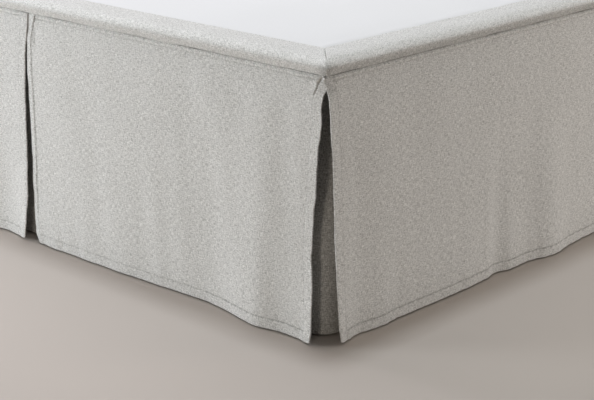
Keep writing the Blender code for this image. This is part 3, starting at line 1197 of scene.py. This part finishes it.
PANELS = (
    Panel("panel_left_head", Side.LEFT, 0.0, 1.0, 0.0105, HEAD_EDGE, SPLIT_FAR, 11, (
        Fold(0.020, 0.050, 0.0040, 0.24),
        Fold(0.210, 0.080, -0.0060, 0.38),
        Fold(0.370, 0.050, 0.0040, 0.34),
        Fold(0.560, 0.070, -0.0050, 0.30),
        Fold(0.740, 0.050, 0.0070, 0.40),
        Fold(0.860, 0.045, -0.0050, 0.30),
        Fold(0.985, 0.060, 0.0055, 0.24),
    )),
    Panel("panel_left_foot", Side.LEFT, 1.0, 2.0, 0.0105, SPLIT_NEAR, CORNER_FAR, 12, (
        Fold(0.040, 0.060, 0.0030, 0.34),
        Fold(0.230, 0.050, -0.0070, 0.34),
        Fold(0.345, 0.048, 0.0130, 0.38),
        Fold(0.470, 0.060, -0.0030, 0.28),
        Fold(0.640, 0.070, 0.0030, 0.40),
        Fold(0.800, 0.055, -0.0060, 0.34),
        Fold(0.970, 0.050, 0.0050, 0.26),
    ), far_turn=CORNER_TURN),
    Panel("panel_foot_left", Side.FOOT, 0.0, 0.6915, 0.0120, CORNER_NEAR, FOOT_SPLIT_FAR, 13, (
        Fold(0.015, 0.040, 0.0040, 0.24),
        Fold(0.150, 0.060, -0.0060, 0.34),
        Fold(0.270, 0.050, 0.0040, 0.38),
        Fold(0.420, 0.080, -0.0090, 0.36),
        Fold(0.560, 0.050, 0.0040, 0.38),
        Fold(0.620, 0.035, -0.0030, 0.28),
        Fold(0.690, 0.045, 0.0080, 0.26),
    )),
    Panel("panel_foot_right", Side.FOOT, 0.6915, 1.4, 0.0120, SPLIT_NEAR, CORNER_FAR, 14, (
        Fold(0.004, 0.025, -0.0040, 0.12),
        Fold(0.0835, 0.045, 0.0020, 0.34),
        Fold(0.2935, 0.055, -0.0025, 0.34),
        Fold(0.3835, 0.110, -0.0070, 0.40),
        Fold(0.4585, 0.075, -0.0095, 0.38),
        Fold(0.5565, 0.055, 0.0058, 0.42),
        Fold(0.5835, 0.038, 0.0054, 0.48),
        Fold(0.6405, 0.030, -0.0022, 0.38),
        Fold(0.6935, 0.032, 0.0060, 0.24),
    ), (
        Crease(0.0215, 0.001, 0.0150, 0.022, 0.0013, 0.0034, 1.0),
        Crease(0.0150, 0.018, 0.0148, 0.050, 0.0013, 0.0030, 1.0),
        Crease(0.0148, 0.045, 0.0150, 0.392, 0.0015, 0.0024, 1.0),
        Crease(0.0200, 0.020, 0.0290, 0.062, 0.0035, 0.0012, 0.15),
        Crease(0.7053, 0.002, 0.6927, 0.013, 0.0011, 0.0032, 1.0),
        Crease(0.6927, 0.013, 0.6900, 0.030, 0.0011, 0.0032, 1.0),
        Crease(0.7097, 0.007, 0.7097, 0.016, 0.0028, 0.0030, 0.85),
        Crease(0.0995, 0.110, 0.1005, 0.300, 0.0050, 0.0008, 0.05),
    ), near_turn=SPLIT_TURN, far_turn=CORNER_TURN, near_lift=0.008, hem_press=(0.55, 1.0)),
    Panel("panel_right_foot", Side.RIGHT, 0.0, 1.0, 0.0105, CORNER_NEAR, SPLIT_FAR, 15, (
        Fold(0.015, 0.030, 0.0035, 0.24),
        Fold(0.064, 0.036, -0.0038, 0.40),
        Fold(0.118, 0.030, 0.0018, 0.30),
        Fold(0.155, 0.022, -0.0015, 0.30),
        Fold(0.233, 0.035, 0.0010, 0.30),
        Fold(0.338, 0.035, 0.0022, 0.32),
        Fold(0.418, 0.036, -0.0090, 0.34),
        Fold(0.565, 0.068, 0.0130, 0.36),
        Fold(0.625, 0.050, 0.0035, 0.30),
        Fold(0.790, 0.070, -0.0050, 0.34),
        Fold(0.975, 0.060, 0.0060, 0.24),
    ), (
        # A shallow crease below the waist by the near edge, with painted shade in it.
        Crease(0.004, 0.003, 0.007, 0.026, 0.0075, 0.0016, 0.60),
    ), hem_press=(1.0, 1.0)),
    Panel("panel_right_head", Side.RIGHT, 1.0, 2.0, 0.0105, SPLIT_NEAR, HEAD_EDGE, 16, (
        Fold(0.060, 0.060, 0.0030, 0.32),
        Fold(0.240, 0.070, -0.0070, 0.40),
        Fold(0.400, 0.050, 0.0060, 0.34),
        Fold(0.590, 0.080, -0.0040, 0.30),
        Fold(0.760, 0.050, 0.0070, 0.40),
        Fold(0.880, 0.050, -0.0050, 0.32),
        Fold(0.985, 0.040, 0.0040, 0.24),
    ), hem_press=(1.0, 1.0)),
)


# ---------------------------------------------------------------- inserts

# How far inside the walls' faces an insert hangs, and the radius of its bend at a corner.
INSERT_INSET = (
    (0.4125, 0.0108), (0.2665, 0.0112), (0.1165, 0.0135), (0.0025, 0.0145),
)
INSERT_BEND = (
    (0.4125, 0.003), (0.4065, 0.050), (0.3945, 0.100), (0.3465, 0.115), (0.2665, 0.115), (0.1465, 0.065),
    (0.0025, 0.045),
)


@dataclass(frozen=True)
class Insert(Cloth):
    """A linen insert that hangs behind a split; its face is found from a path round the bed."""

    name: str
    seed: int
    before: Side
    after: Optional[Side]       # the next side, where the insert bends round a corner
    width: float

    # A corner insert's hem hangs this much nearer to one wall than to the other, from a height down.
    skew: float = 0.0045
    skew_from: float = 0.28
    skew_over: float = 0.20

    hem_dip: Dip = Dip(DIP, 0.0006, 1.0)
    hem_swell: float = 0.0004   # how far the hem's double cloth stands out
    cockle_start: float = 0.08  # below the seam, where the cockles are at their full height
    shade: float = 0.6          # painted shade on its open cloth, and how much more is painted at the waist, over a fall
    waist_shade: float = 0.4
    waist_fall: float = 0.16
    side_span: Span = (0.010, 0.0025)
    waist_span: Span = (0.036, 0.003)
    hem_span: Span = (0.022, 0.0015)
    pitch_along: float = 0.006
    pitch_down: float = 0.009
    stitch_clear: float = 0.012  # from a side edge to the first stitch of the hem

    def face(self, bed: Bed, along: Array, down: Array) -> Array:
        """Find the insert's face.

        Args:
            bed: the bed's measures.
            along: metres along the insert.
            down: metres down it from the waist seam.

        Returns:
            The points.
        """
        fall = bed.waist - bed.insert_hem
        height = bed.waist - SEAM_GAP / 2 - down * (1 - SEAM_GAP / 2 / fall)
        inset = read_down(INSERT_INSET, height)
        above = fall - down - BOTTOM_HEM
        inset = inset + self.hem_dip.depth * soft_line(above, self.hem_dip.half)
        inset = inset - self.hem_swell * (1 - smooth_step(above / SWELL_STEP))
        wave = Cockle(self.seed, height=0.0008, shortest=0.060, longest=0.160, upright=2.5).at(along, down)
        inset = inset - wave * smooth_step(down / self.cockle_start)
        before = bed.wall(self.before)
        if self.after is None:
            return before.points(before.length / 2 + along - self.width / 2, -inset, height)
        radius = read_down(INSERT_BEND, height)
        return self._round_corner(bed, along - self.width / 2, inset, radius, height)

    def _round_corner(self, bed: Bed, past: Array, inset: Array, radius: Array, height: Array) -> Array:
        """Place points on a path that bends from one wall round to the next.

        Args:
            bed: the bed's measures.
            past: metres past the middle of the bend.
            inset: how far inside the walls' faces the path runs.
            radius: the radius of the bend.
            height: metres above the floor.

        Returns:
            The points.
        """
        after = bed.wall(self.after)
        first, second = np.array(bed.wall(self.before).out), np.array(after.out)
        quarter = math.pi / 4 * radius
        bend = np.clip(past, -quarter, quarter)
        turn = bend / radius + math.pi / 4
        beyond = past - bend
        skew = self.skew * smooth_step((self.skew_from - height) / self.skew_over)
        centre = np.array(after.start) - (inset - skew + radius)[..., None] * first
        centre = centre - (inset + skew + radius)[..., None] * second
        arc = np.cos(turn)[..., None] * first + np.sin(turn)[..., None] * second
        run = np.minimum(beyond, 0)[..., None] * second - np.maximum(beyond, 0)[..., None] * first
        plan = centre + radius[..., None] * arc + run
        return np.concatenate([plan, height[..., None]], axis=-1)

    def build(self, bed: Bed, finishes: Finishes, hangs_from: Sequence[str]) -> Piece:
        """Make the insert with its hem stitching.

        Args:
            bed: the bed's measures.
            finishes: the materials.
            hangs_from: the border pieces that it is sewn to; not used.

        Returns:
            The insert's object.
        """
        fall = bed.waist - bed.insert_hem
        sheet = Sheet(
            f"{self.name}_cloth",
            graded(self.width, [self.side_span], self.pitch_along, [self.side_span]),
            graded(fall, [self.waist_span], self.pitch_down, [self.hem_span]),
        )
        along, down = sheet.stations()
        face = self.face(bed, along, down)
        # Painted shade along the hem's stitch line, and painted shadow over the whole insert, strongest at
        # the waist, as it hangs behind the panels.
        line = self.hem_dip.shade * soft_line(fall - down - BOTTOM_HEM, self.hem_dip.half)
        painted_shadow = self.shade + self.waist_shade * (1 - smooth_step(down / self.waist_fall))
        back = linen_back(face, doubled(fall - down, BOTTOM_HEM))
        piece = sheet.build(face, back, np.maximum(line, painted_shadow), finishes.linen)
        low = fall - BOTTOM_HEM
        hem = Line((self.stitch_clear, low), (self.width - self.stitch_clear, low))
        stitches = self.stitched(bed, finishes, hem)
        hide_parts(self.name)
        cut = (self.width + 2 * HEM_TURN, fall + BOTTOM_HEM + HEM_TURN + SEAM_ALLOWANCE)
        return piece


INSERTS = (
    Insert("insert_left", 31, Side.LEFT, None, 0.240),
    Insert("insert_foot", 32, Side.FOOT, None, 0.240),
    Insert("insert_right", 33, Side.RIGHT, None, 0.240),
    Insert("insert_corner_left", 34, Side.LEFT, Side.FOOT, 0.290),
    Insert("insert_corner_right", 35, Side.FOOT, Side.RIGHT, 0.290),
)


# ---------------------------------------------------------------- border and deck

class Run(NamedTuple):
    """One run of a section: straight, or an arc that turns downwards."""

    length: float
    start: float            # radians below level where it starts
    radius: float           # 0 where it is straight

    def walk(self, walked: Array) -> tuple[Array, Array, Array]:
        """Walk along the run.

        Args:
            walked: how far to walk.

        Returns:
            How far out and how far down that leads, and how far it turns.
        """
        if not self.radius:
            return walked * math.cos(self.start), walked * math.sin(self.start), 0.0 * walked
        turn = walked / self.radius
        out = self.radius * (np.sin(self.start + turn) - math.sin(self.start))
        drop = self.radius * (math.cos(self.start) - np.cos(self.start + turn))
        return out, drop, turn


@dataclass(frozen=True)
class Border:
    """A linen strip round the deck: crowned on top, rolled over the edge and tucked in to the waist."""

    side: Side
    mitred_start: bool
    mitred_end: bool
    seed: int
    deck_line: float        # painted shade along the seam to the deck
    under: float            # painted shade on the part that is tucked under

    # Radius of each arc and the degrees below level where it ends: crown, brow and tucked-in chin.
    arcs: tuple[tuple[float, float], ...] = ((0.1500, 7.0), (0.0175, 60.0), (0.0055, 129.0))
    corner_shade_reach: float = 0.020  # how far from a mitre the painted shade under the roll reaches
    mitre_calm: float = 0.030   # how far from a mitre the cloth lies more even, and from the deck
    deck_calm: float = 0.010
    # How deep the edge is folded down at the deck, and over what width.
    folded_edge: tuple[float, float] = (0.0009, 0.0016)
    waist_edge: tuple[float, float] = (0.0002, 0.001)   # and the same at the waist seam
    mitre_dip: Dip = Dip(0.0016, 0.0007, 0.5)
    mitre_line: float = 0.0010  # half widths of the painted shade lines along a mitre and the deck
    deck_line_half: float = 0.0008
    tuck_over: float = 0.006    # over how much of the section the painted shade on the tucked part rises
    corner_shade_above: float = 0.016  # where the painted corner shade starts near a mitre, before the chin's end, and over how much
    corner_shade_over: float = 0.012
    end_span: Span = (0.012, 0.0015)
    pitch_along: float = 0.010
    deck_span: Span = (0.003, 0.001)
    waist_span: Span = (0.002, 0.001)
    pitch_down: float = 0.0028

    @property
    def name(self) -> str:
        """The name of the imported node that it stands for."""
        return f"border_{self.side.value}"

    def runs(self, bed: Bed) -> list[Run]:
        """Lay out the section's runs, from the deck over the roll to the waist seam.

        Args:
            bed: the bed's measures.

        Returns:
            The runs in order.
        """
        turns = []
        start, widest = 0.0, 0.0
        for radius, degrees in self.arcs:
            end = math.radians(degrees)
            turns.append(Run(radius * (end - start), start, radius))
            widest += radius * (math.sin(min(end, math.pi / 2)) - math.sin(start))
            start = end
        drop = sum(float(run.walk(np.array(run.length))[1]) for run in turns)
        tail = bed.top - drop - bed.waist - SEAM_GAP / 2
        return [Run(bed.border - widest, 0.0, 0.0), *turns, Run(tail / math.sin(start), start, 0.0)]

    def section_length(self, bed: Bed) -> float:
        """Return the length of the strip's section, from the deck to the waist seam."""
        return sum(run.length for run in self.runs(bed))

    def section(self, bed: Bed, down: Array, depth: Array) -> tuple[Array, Array]:
        """Find places on the strip's section.

        Args:
            bed: the bed's measures.
            down: metres from the deck seam over the roll towards the waist.
            depth: metres below the face, along its normal.

        Returns:
            How far out each place lies, below 0 inside the wall's face, and its height.
        """
        out, height = -bed.border + 0.0 * down, bed.top + 0.0 * down
        heading = 0.0 * down
        passed = 0.0
        for run in self.runs(bed):
            onward, drop, turn = run.walk(np.clip(down - passed, 0.0, run.length))
            out, height, heading = out + onward, height - drop, heading + turn
            passed += run.length
        return out - depth * np.sin(heading), height - depth * np.cos(heading)

    def surface(self, bed: Bed, along: Array, down: Array, depth: float) -> Array:
        """Return points of the strip at places along and down it.

        Args:
            bed: the bed's measures.
            along: share of the strip's length, 0 to 1.
            down: metres from the deck seam.
            depth: metres below the face.

        Returns:
            The points.
        """
        wall = bed.wall(self.side)
        out, _ = self.section(bed, down, np.full_like(down, depth))
        trim = SEAM_GAP * math.sqrt(0.5) - out
        first = trim if self.mitred_start else np.zeros_like(out)
        last = wall.length - (trim if self.mitred_end else np.zeros_like(out))
        at = first + (last - first) * along
        sunk = self._sunk(bed, at, down, self._apart(at - first, last - at))
        out, height = self.section(bed, down, depth + sunk)
        return wall.sharp_points(at, out, height)

    def _apart(self, start: Array, end: Array) -> Array:
        """Return the distance to the nearest mitre, from those to the strip's two ends."""
        return np.minimum(start if self.mitred_start else 1.0, end if self.mitred_end else 1.0)

    def _sunk(self, bed: Bed, at: Array, down: Array, apart: Array) -> Array:
        """Return how far the face lies below its plain section.

        Args:
            bed: the bed's measures.
            at: metres along the wall.
            down: metres from the deck seam.
            apart: metres from the nearest mitre.

        Returns:
            The depth at each place.
        """
        calm = smooth_step(apart / self.mitre_calm) * smooth_step(down / self.deck_calm)
        waves = Cockle(self.seed, height=0.00035, shortest=0.060, longest=0.170).at(at, down)
        waves = waves + Cockle(self.seed + 5, height=0.00014, shortest=0.016, longest=0.040).at(at, down)
        sunk = self.mitre_dip.depth * soft_line(apart, self.mitre_dip.half) - waves * calm
        to_waist = self.section_length(bed) - down
        for (depth, width), distance in ((self.folded_edge, down), (self.waist_edge, to_waist)):
            sunk = sunk + depth * np.clip(1 - distance / width, 0, 1) ** 2
        return sunk

    def _shade(self, bed: Bed, down: Array, apart: Array) -> Array:
        """Work out the shade painted on the strip.

        Args:
            bed: the bed's measures.
            down: metres from the deck seam.
            apart: metres from the nearest mitre.

        Returns:
            The painted shade at each place, 0 to 1.
        """
        chin = self.section_length(bed) - self.runs(bed)[-1].length
        # Painted shade on the tucked-under part and near the mitres, and in lines along the mitres and the
        # deck seam.
        tucked = smooth_step((down - chin + self.tuck_over) / self.tuck_over)
        mitre = soft_line(apart, self.mitre_line)
        painted_corner_shade = smooth_step((down - chin + self.corner_shade_above) / self.corner_shade_over)
        painted_corner_shade = painted_corner_shade * soft_line(apart, self.corner_shade_reach)
        under = np.maximum(self.under * tucked, painted_corner_shade) * (1 - mitre)
        seam = self.deck_line * soft_line(down, self.deck_line_half)
        return np.maximum.reduce([under, self.mitre_dip.shade * mitre * (1 - tucked), seam])

    def build(self, bed: Bed, finishes: Finishes) -> Piece:
        """Make the strip.

        Args:
            bed: the bed's measures.
            finishes: the materials.

        Returns:
            The strip's object.
        """
        length = bed.wall(self.side).length
        section = self.section_length(bed)
        sheet = Sheet(
            f"{self.name}_cloth",
            graded(length, [self.end_span], self.pitch_along, [self.end_span]),
            graded(section, [self.deck_span], self.pitch_down, [self.waist_span]),
        )
        along, down = sheet.stations()
        face, back = (self.surface(bed, along / length, down, depth) for depth in (0.0, CLOTH_THICK))
        shade = self._shade(bed, down, self._apart(along, length - along))
        piece = sheet.build(face, back, shade, finishes.linen)
        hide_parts(self.name)
        return piece


# The last two numbers set the painted shade along the deck seam and under the roll; the right border has
# the most.
BORDERS = (
    Border(Side.LEFT, False, True, 41, 0.2, 0.1),
    Border(Side.FOOT, True, True, 42, 0.2, 0.1),
    Border(Side.RIGHT, True, False, 43, 0.9, 0.65),
)


@dataclass(frozen=True)
class Deck(Cloth):
    """The plain white deck inside the border, with a stitched hem at the head end."""

    name: str = "deck"
    head_hem: float = 0.020
    thick: float = 0.0009
    sinks: float = 0.0004   # how far the cloth gives at most, down to the base and up from it
    lifts: float = 0.0009
    seam_dip: Dip = Dip(DIP, 0.0009, 0.5)
    seam_over: float = 0.006    # over which the cloth dips down to the seam
    hem_dip: Dip = Dip(DIP, 0.0006, 0.7)
    calm: float = 0.05      # how far from the seam the long waves are at their full height
    pucker: float = 0.012   # how far from the seam its puckers lie, and their half width
    rim_span: Span = (0.030, 0.003)
    head_spans: tuple[Span, ...] = ((0.018, 0.006), (0.006, 0.001))
    pitch: float = 0.020
    stitch_clear: float = 0.004  # from a side seam to the first stitch of the hem

    @staticmethod
    def _size(bed: Bed) -> tuple[float, float]:
        """Return the deck's width and its length."""
        return 2 * (bed.half - bed.border) - SEAM_GAP, bed.head - bed.foot - bed.border - SEAM_GAP / 2

    def _to_seam(self, bed: Bed, along: Array, down: Array) -> Array:
        """Return the distance from places to the nearest seam."""
        width, length = self._size(bed)
        return np.minimum(np.minimum(along, width - along), length - down)

    def face(self, bed: Bed, along: Array, down: Array) -> Array:
        """Find the deck's face.

        Args:
            bed: the bed's measures.
            along: metres from the left seam.
            down: metres from the head end.

        Returns:
            The points.
        """
        seam = self._to_seam(bed, along, down)
        puckers = Cockle(51, height=0.0004, shortest=0.020, longest=0.055, waves=10).at(along, down)
        waves = Cockle(52, height=0.0005, shortest=0.150, longest=0.420).at(along, down)
        waves = puckers * soft_line(seam - self.pucker, self.pucker) + waves * smooth_step(seam / self.calm)
        limit = np.where(waves < 0, self.sinks, self.lifts)
        height = bed.top - self.seam_dip.depth * (1 - smooth_step(seam / self.seam_over))
        height = height - self.sinks + limit * np.tanh(waves / limit)
        height = height - self.hem_dip.depth * soft_line(down - self.head_hem, self.hem_dip.half)
        return np.stack([along - self._size(bed)[0] / 2, bed.head - down, height], axis=-1)

    def build(self, bed: Bed, finishes: Finishes) -> Piece:
        """Make the deck with its head hem's stitching.

        Args:
            bed: the bed's measures.
            finishes: the materials.

        Returns:
            The deck's object.
        """
        width, length = self._size(bed)
        sheet = Sheet(
            "deck_cloth",
            graded(width, [self.rim_span], self.pitch, [self.rim_span]),
            graded(length, self.head_spans, self.pitch, [self.rim_span]),
            rounding=0.0003,
        )
        along, down = sheet.stations()
        face = self.face(bed, along, down)
        # Painted shade along the head hem's stitch line and along the seams.
        hem = self.hem_dip.shade * soft_line(down - self.head_hem, self.hem_dip.half)
        seam = self.seam_dip.shade * soft_line(self._to_seam(bed, along, down), self.seam_dip.half)
        back = face - np.array([0.0, 0.0, self.thick])
        piece = sheet.build(face, back, np.maximum(hem, seam), finishes.deck)
        line = Line((self.stitch_clear, self.head_hem), (width - self.stitch_clear, self.head_hem))
        stitches = self.stitched(bed, finishes, line)
        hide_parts(self.name)
        return piece


# ---------------------------------------------------------------- base and legs

@dataclass(frozen=True)
class BedBase:
    """The plain covered bed base: a deep box with soft edges and a seam round its foot."""

    corner: float = 0.120   # at the foot end, behind the bend of the corner inserts
    head_corner: float = 0.050
    edge: float = 0.040
    lower_edge: float = 0.006
    seam_up: float = 0.030  # from the underside up to the seam
    seam_depth: float = 0.0016
    seam_half: float = 0.002    # half the height of the band that is drawn in
    # Level cuts through the cover, by their height above the seam.
    seam_cuts: tuple[float, ...] = (-0.003, -0.001, 0.001, 0.003)
    side_from: float = 0.6  # from the middle, past which a place belongs to a side, and to an end
    end_from: float = 0.9
    crisp: float = 50.0     # degrees between faces, above which an edge is shaded sharp

    @staticmethod
    def _round(shape: bmesh.types.BMesh, edges: Sequence[bmesh.types.BMEdge], radius: float,
               segments: int) -> None:
        """Round edges of a shape with a radius."""
        bmesh.ops.bevel(shape, geom=edges, offset=radius, offset_type="OFFSET", segments=segments,
                        profile=0.5, affect="EDGES", material=-1, clamp_overlap=True)

    def _draw_in(self, shape: bmesh.types.BMesh, middle: Vector, seam: float) -> None:
        """Cut level rows into the cover and draw those at its seam in.

        Args:
            shape: the cover.
            middle: the middle of the base.
            seam: the seam's height.
        """
        for offset in self.seam_cuts:
            whole = shape.verts[:] + shape.edges[:] + shape.faces[:]
            bmesh.ops.bisect_plane(shape, geom=whole, plane_co=(0, 0, seam + offset), plane_no=(0, 0, 1))
        for vert in shape.verts:
            if abs(vert.co.z - seam) < self.seam_half:
                for axis, limit in ((0, self.side_from), (1, self.end_from)):
                    apart = middle[axis] - vert.co[axis]
                    if abs(apart) > limit:
                        vert.co[axis] += math.copysign(self.seam_depth, apart)

    def build(self, finishes: Finishes) -> Piece:
        """Make the base from a box with rounded edges.

        Args:
            finishes: the materials.

        Returns:
            The base's object.
        """
        low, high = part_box("bed_base")
        middle = (low + high) / 2
        shape = bmesh.new()
        bmesh.ops.create_cube(shape, size=1.0)
        bmesh.ops.scale(shape, vec=high - low, verts=shape.verts)
        bmesh.ops.translate(shape, vec=middle, verts=shape.verts)
        for at_foot, radius in ((True, self.corner), (False, self.head_corner)):
            upright = [edge for edge in shape.edges if edge.verts[0].co.xy == edge.verts[1].co.xy
                       and (edge.verts[0].co.y < 0) == at_foot]
            self._round(shape, upright, radius, 8)
        for level, radius, segments in ((high.z, self.edge, 5), (low.z, self.lower_edge, 3)):
            rim = [edge for edge in shape.edges
                   if all(abs(vert.co.z - level) < 1e-4 for vert in edge.verts)]
            self._round(shape, rim, radius, segments)
        self._draw_in(shape, middle, low.z + self.seam_up)
        bmesh.ops.recalc_face_normals(shape, faces=shape.faces)
        piece = add_piece("base_cover", to_mesh(shape, "base_cover"), finishes.base)
        piece.data.set_sharp_from_angle(angle=math.radians(self.crisp))
        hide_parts("bed_base")
        return piece


LEGS = 6


@dataclass(frozen=True)
class Leg:
    """A turned beech leg with a collar under the base and a felt pad on the floor."""

    number: int

    collar: float = 0.014   # height of the collar
    chamfer: float = 0.0010  # in and down at the collar's upper edge
    lower_chamfer: tuple[float, float] = (0.0012, 0.002)  # in and up at its lower edge
    # Two places under it: how far in, and how far down.
    groove: tuple[tuple[float, float], ...] = ((0.0042, 0.0012), (0.0046, 0.0030))
    taper: float = 0.7      # the foot's radius as a share of the collar's
    swell: float = 0.0012   # of the shaft at its middle
    shaft_steps: int = 10
    # Three places at the foot: how far in from its radius, and how far above its end.
    foot_round: tuple[tuple[float, float], ...] = ((0.0, 0.0025), (0.0008, 0.0007), (0.0025, 0.0))
    turns: int = 32         # faces round the leg
    pad: float = 0.003      # thickness of the felt
    pad_inset: float = 0.0030  # how far inside the foot's radius it lies
    # How far it bulges, from how far below its top, to above its end.
    pad_round: tuple[float, ...] = (0.0004, 0.0008, 0.0006)
    pad_gap: float = 0.0001
    crisp: float = 60.0     # degrees between faces, above which an edge is shaded sharp

    def _turned(self, name: str, profile: Sequence[tuple[float, float]], middle: Vector) -> Mesh:
        """Spin a profile round an upright axis.

        Args:
            name: the mesh's name.
            profile: pairs of radius and height, from the axis at the top to the axis at the bottom.
            middle: a point on the axis.

        Returns:
            The closed mesh.
        """
        shape = bmesh.new()
        verts = [shape.verts.new((middle.x + radius, middle.y, height)) for radius, height in profile]
        edges = [shape.edges.new(pair) for pair in zip(verts, verts[1:])]
        bmesh.ops.spin(shape, geom=verts + edges, cent=(middle.x, middle.y, 0), axis=(0, 0, 1),
                       angle=2 * math.pi, steps=self.turns, use_merge=True)
        bmesh.ops.remove_doubles(shape, verts=shape.verts, dist=1e-6)
        bmesh.ops.recalc_face_normals(shape, faces=shape.faces)
        return to_mesh(shape, name)

    def _shaft(self, top: float, high: float, low: float) -> list[tuple[float, float]]:
        """Return the profile of the wood.

        Args:
            top: the collar's radius.
            high: the height of its upper end.
            low: the height of its lower end.

        Returns:
            Pairs of radius and height, from the top down.
        """
        neck = high - self.collar
        inward, upward = self.lower_chamfer
        profile = [(0.0, high), (top - self.chamfer, high), (top, high - self.chamfer),
                   (top, neck + upward), (top - inward, neck)]
        profile += [(top - deep, neck - below) for deep, below in self.groove]
        start, start_height = profile[-1]
        foot = top * self.taper
        end_height = low + self.foot_round[0][1]
        for step in range(1, self.shaft_steps + 1):
            share = step / self.shaft_steps
            radius = start + (foot - start) * share + self.swell * math.sin(math.pi * share)
            profile.append((radius, start_height + (end_height - start_height) * share))
        profile += [(foot - inside, low + above) for inside, above in self.foot_round[1:]]
        return [*profile, (0.0, low)]

    def _felt(self, radius: float, high: float, low: float) -> list[tuple[float, float]]:
        """Return the profile of the felt.

        Args:
            radius: the radius of its two ends.
            high: the height of its top.
            low: the height of its bottom.

        Returns:
            Pairs of radius and height, from the top down.
        """
        bulge, below, above = self.pad_round
        return [(0.0, high), (radius, high), (radius + bulge, high - below), (radius + bulge, low + above),
                (radius, low), (0.0, low)]

    def build(self, finishes: Finishes) -> Piece:
        """Make the leg and its pad.

        Args:
            finishes: the materials.

        Returns:
            The leg's object.
        """
        node = f"leg_{self.number}"
        low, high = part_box(node)
        middle = (low + high) / 2
        top = (high.x - low.x) / 2
        bottom = low.z + self.pad
        shaft = self._shaft(top, high.z, bottom)
        felt = self._felt(top * self.taper - self.pad_inset, bottom - self.pad_gap, low.z)
        leg = add_piece(f"{node}_turned", self._turned(node, shaft, middle), finishes.wood)
        pad = add_piece(f"{node}_pad", self._turned(f"{node}_pad", felt, middle), finishes.felt)
        for piece in (leg, pad):
            piece.data.set_sharp_from_angle(angle=math.radians(self.crisp))
        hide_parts(node)
        return leg


# ---------------------------------------------------------------- studio

@dataclass(frozen=True)
class SoftBox:
    """A soft area light that points at a place and isn't seen itself."""

    name: str
    place: Place
    aim: Place
    size: float
    power: float
    color: Color = (1.0, 1.0, 1.0)

    def build(self) -> None:
        """Hang the light."""
        light = bpy.data.lights.new(self.name, "AREA")
        light.shape = "SQUARE"
        light.size = self.size
        light.energy = self.power
        light.color = self.color
        lamp = put(self.name, light)
        turn = (Vector(self.aim) - Vector(self.place)).to_track_quat("-Z", "Y")
        lamp.matrix_world = Matrix.Translation(self.place) @ turn.to_matrix().to_4x4()
        lamp.visible_camera = False


@dataclass(frozen=True)
class Studio:
    """The floor, the lights and the camera."""

    floor_size: float = 60.0
    world_color: Color = (1.0, 1.0, 1.0)
    world_strength: float = 0.01
    lights: tuple[SoftBox, ...] = (
        SoftBox("key_left", (-1.901, -3.091, 0.614), (0.2, -0.99, 0.2), 1.0, 61.5, (0.907, 0.962, 1.0)),
        SoftBox("right", (3.638, 0.218, 0.510), (0.7, -0.3, 0.2), 1.0, 5.1, (0.765, 0.863, 1.0)),
        SoftBox("right_behind", (2.810, 1.810, 0.510), (0.7, -0.3, 0.2), 1.0, 39.0, (1.0, 0.933, 0.867)),
        SoftBox("front_low", (1.783, -3.715, 0.534), (0.67, -0.96, 0.12), 0.35, 11.0, (1.0, 0.90, 0.78)),
        SoftBox("overhead", (0.35, -0.65, 3.0), (0.35, -0.65, 0.0), 0.35, 27.9, (0.849, 0.932, 1.0)),
        SoftBox("ceiling", (0.2, -0.4, 3.0), (0.2, -0.4, 0.0), 3.0, 40.7, (1.0, 0.956, 0.894)),
        SoftBox("behind", (-2.419, -0.7, 1.226), (0.4, -0.7, 0.2), 1.3, 55.7, (0.996, 0.930, 1.0)),
    )
    camera_place: Place = (2.138, -2.564, 0.9285)
    camera_heading: float = 133.59      # degrees round from +X
    camera_pitch: float = -18.10
    camera_roll: float = -0.28
    lens: float = 93.16
    sensor: float = 36.0

    def build(self) -> None:
        """Set up floor, world, lights and camera."""
        self._floor()
        self._world()
        for light in self.lights:
            light.build()
        self._camera()
        bpy.context.scene.view_settings.view_transform = "Standard"

    def _floor(self) -> None:
        """Lay the floor, which isn't part of the bed."""
        shape = bmesh.new()
        bmesh.ops.create_grid(shape, x_segments=1, y_segments=1, size=self.floor_size / 2)
        mesh = to_mesh(shape, "floor")
        mesh.materials.append(FloorPaint().material())
        floor = put("floor", mesh)

    def _world(self) -> None:
        """Light the room evenly."""
        world = bpy.data.worlds.new("studio")
        world.use_nodes = True
        background = world.node_tree.nodes["Background"]
        background.inputs["Color"].default_value = (*self.world_color, 1.0)
        background.inputs["Strength"].default_value = self.world_strength
        bpy.context.scene.world = world

    def _camera(self) -> None:
        """Place the camera, without depth of field."""
        heading, pitch = math.radians(self.camera_heading), math.radians(self.camera_pitch)
        forward = Vector((math.cos(heading) * math.cos(pitch), math.sin(heading) * math.cos(pitch),
                          math.sin(pitch)))
        turn = forward.to_track_quat("-Z", "Y").to_matrix().to_4x4()
        data = bpy.data.cameras.new("camera")
        data.sensor_width = self.sensor
        data.lens = self.lens
        camera = put("camera", data)
        roll = Matrix.Rotation(math.radians(self.camera_roll), 4, "Z")
        camera.matrix_world = Matrix.Translation(self.camera_place) @ turn @ roll
        bpy.context.scene.camera = camera


# ---------------------------------------------------------------- the whole


def main() -> None:
    """Build the studio and every piece of the bed and its skirt."""
    logging.basicConfig(level=logging.INFO)
    Studio().build()
    bed = Bed.from_frame()
    finishes = Finishes.made()
    BedBase().build(finishes)
    for number in range(1, LEGS + 1):
        Leg(number).build(finishes)
    Deck().build(bed, finishes)
    borders = {border.side: border.build(bed, finishes).name for border in BORDERS}
    for panel in PANELS:
        panel.build(bed, finishes, borders[panel.side])
    for insert in INSERTS:
        sides = [insert.before] if insert.after is None else [insert.before, insert.after]
        insert.build(bed, finishes, [borders[side] for side in sides])


if __name__ == "__main__":
    main()
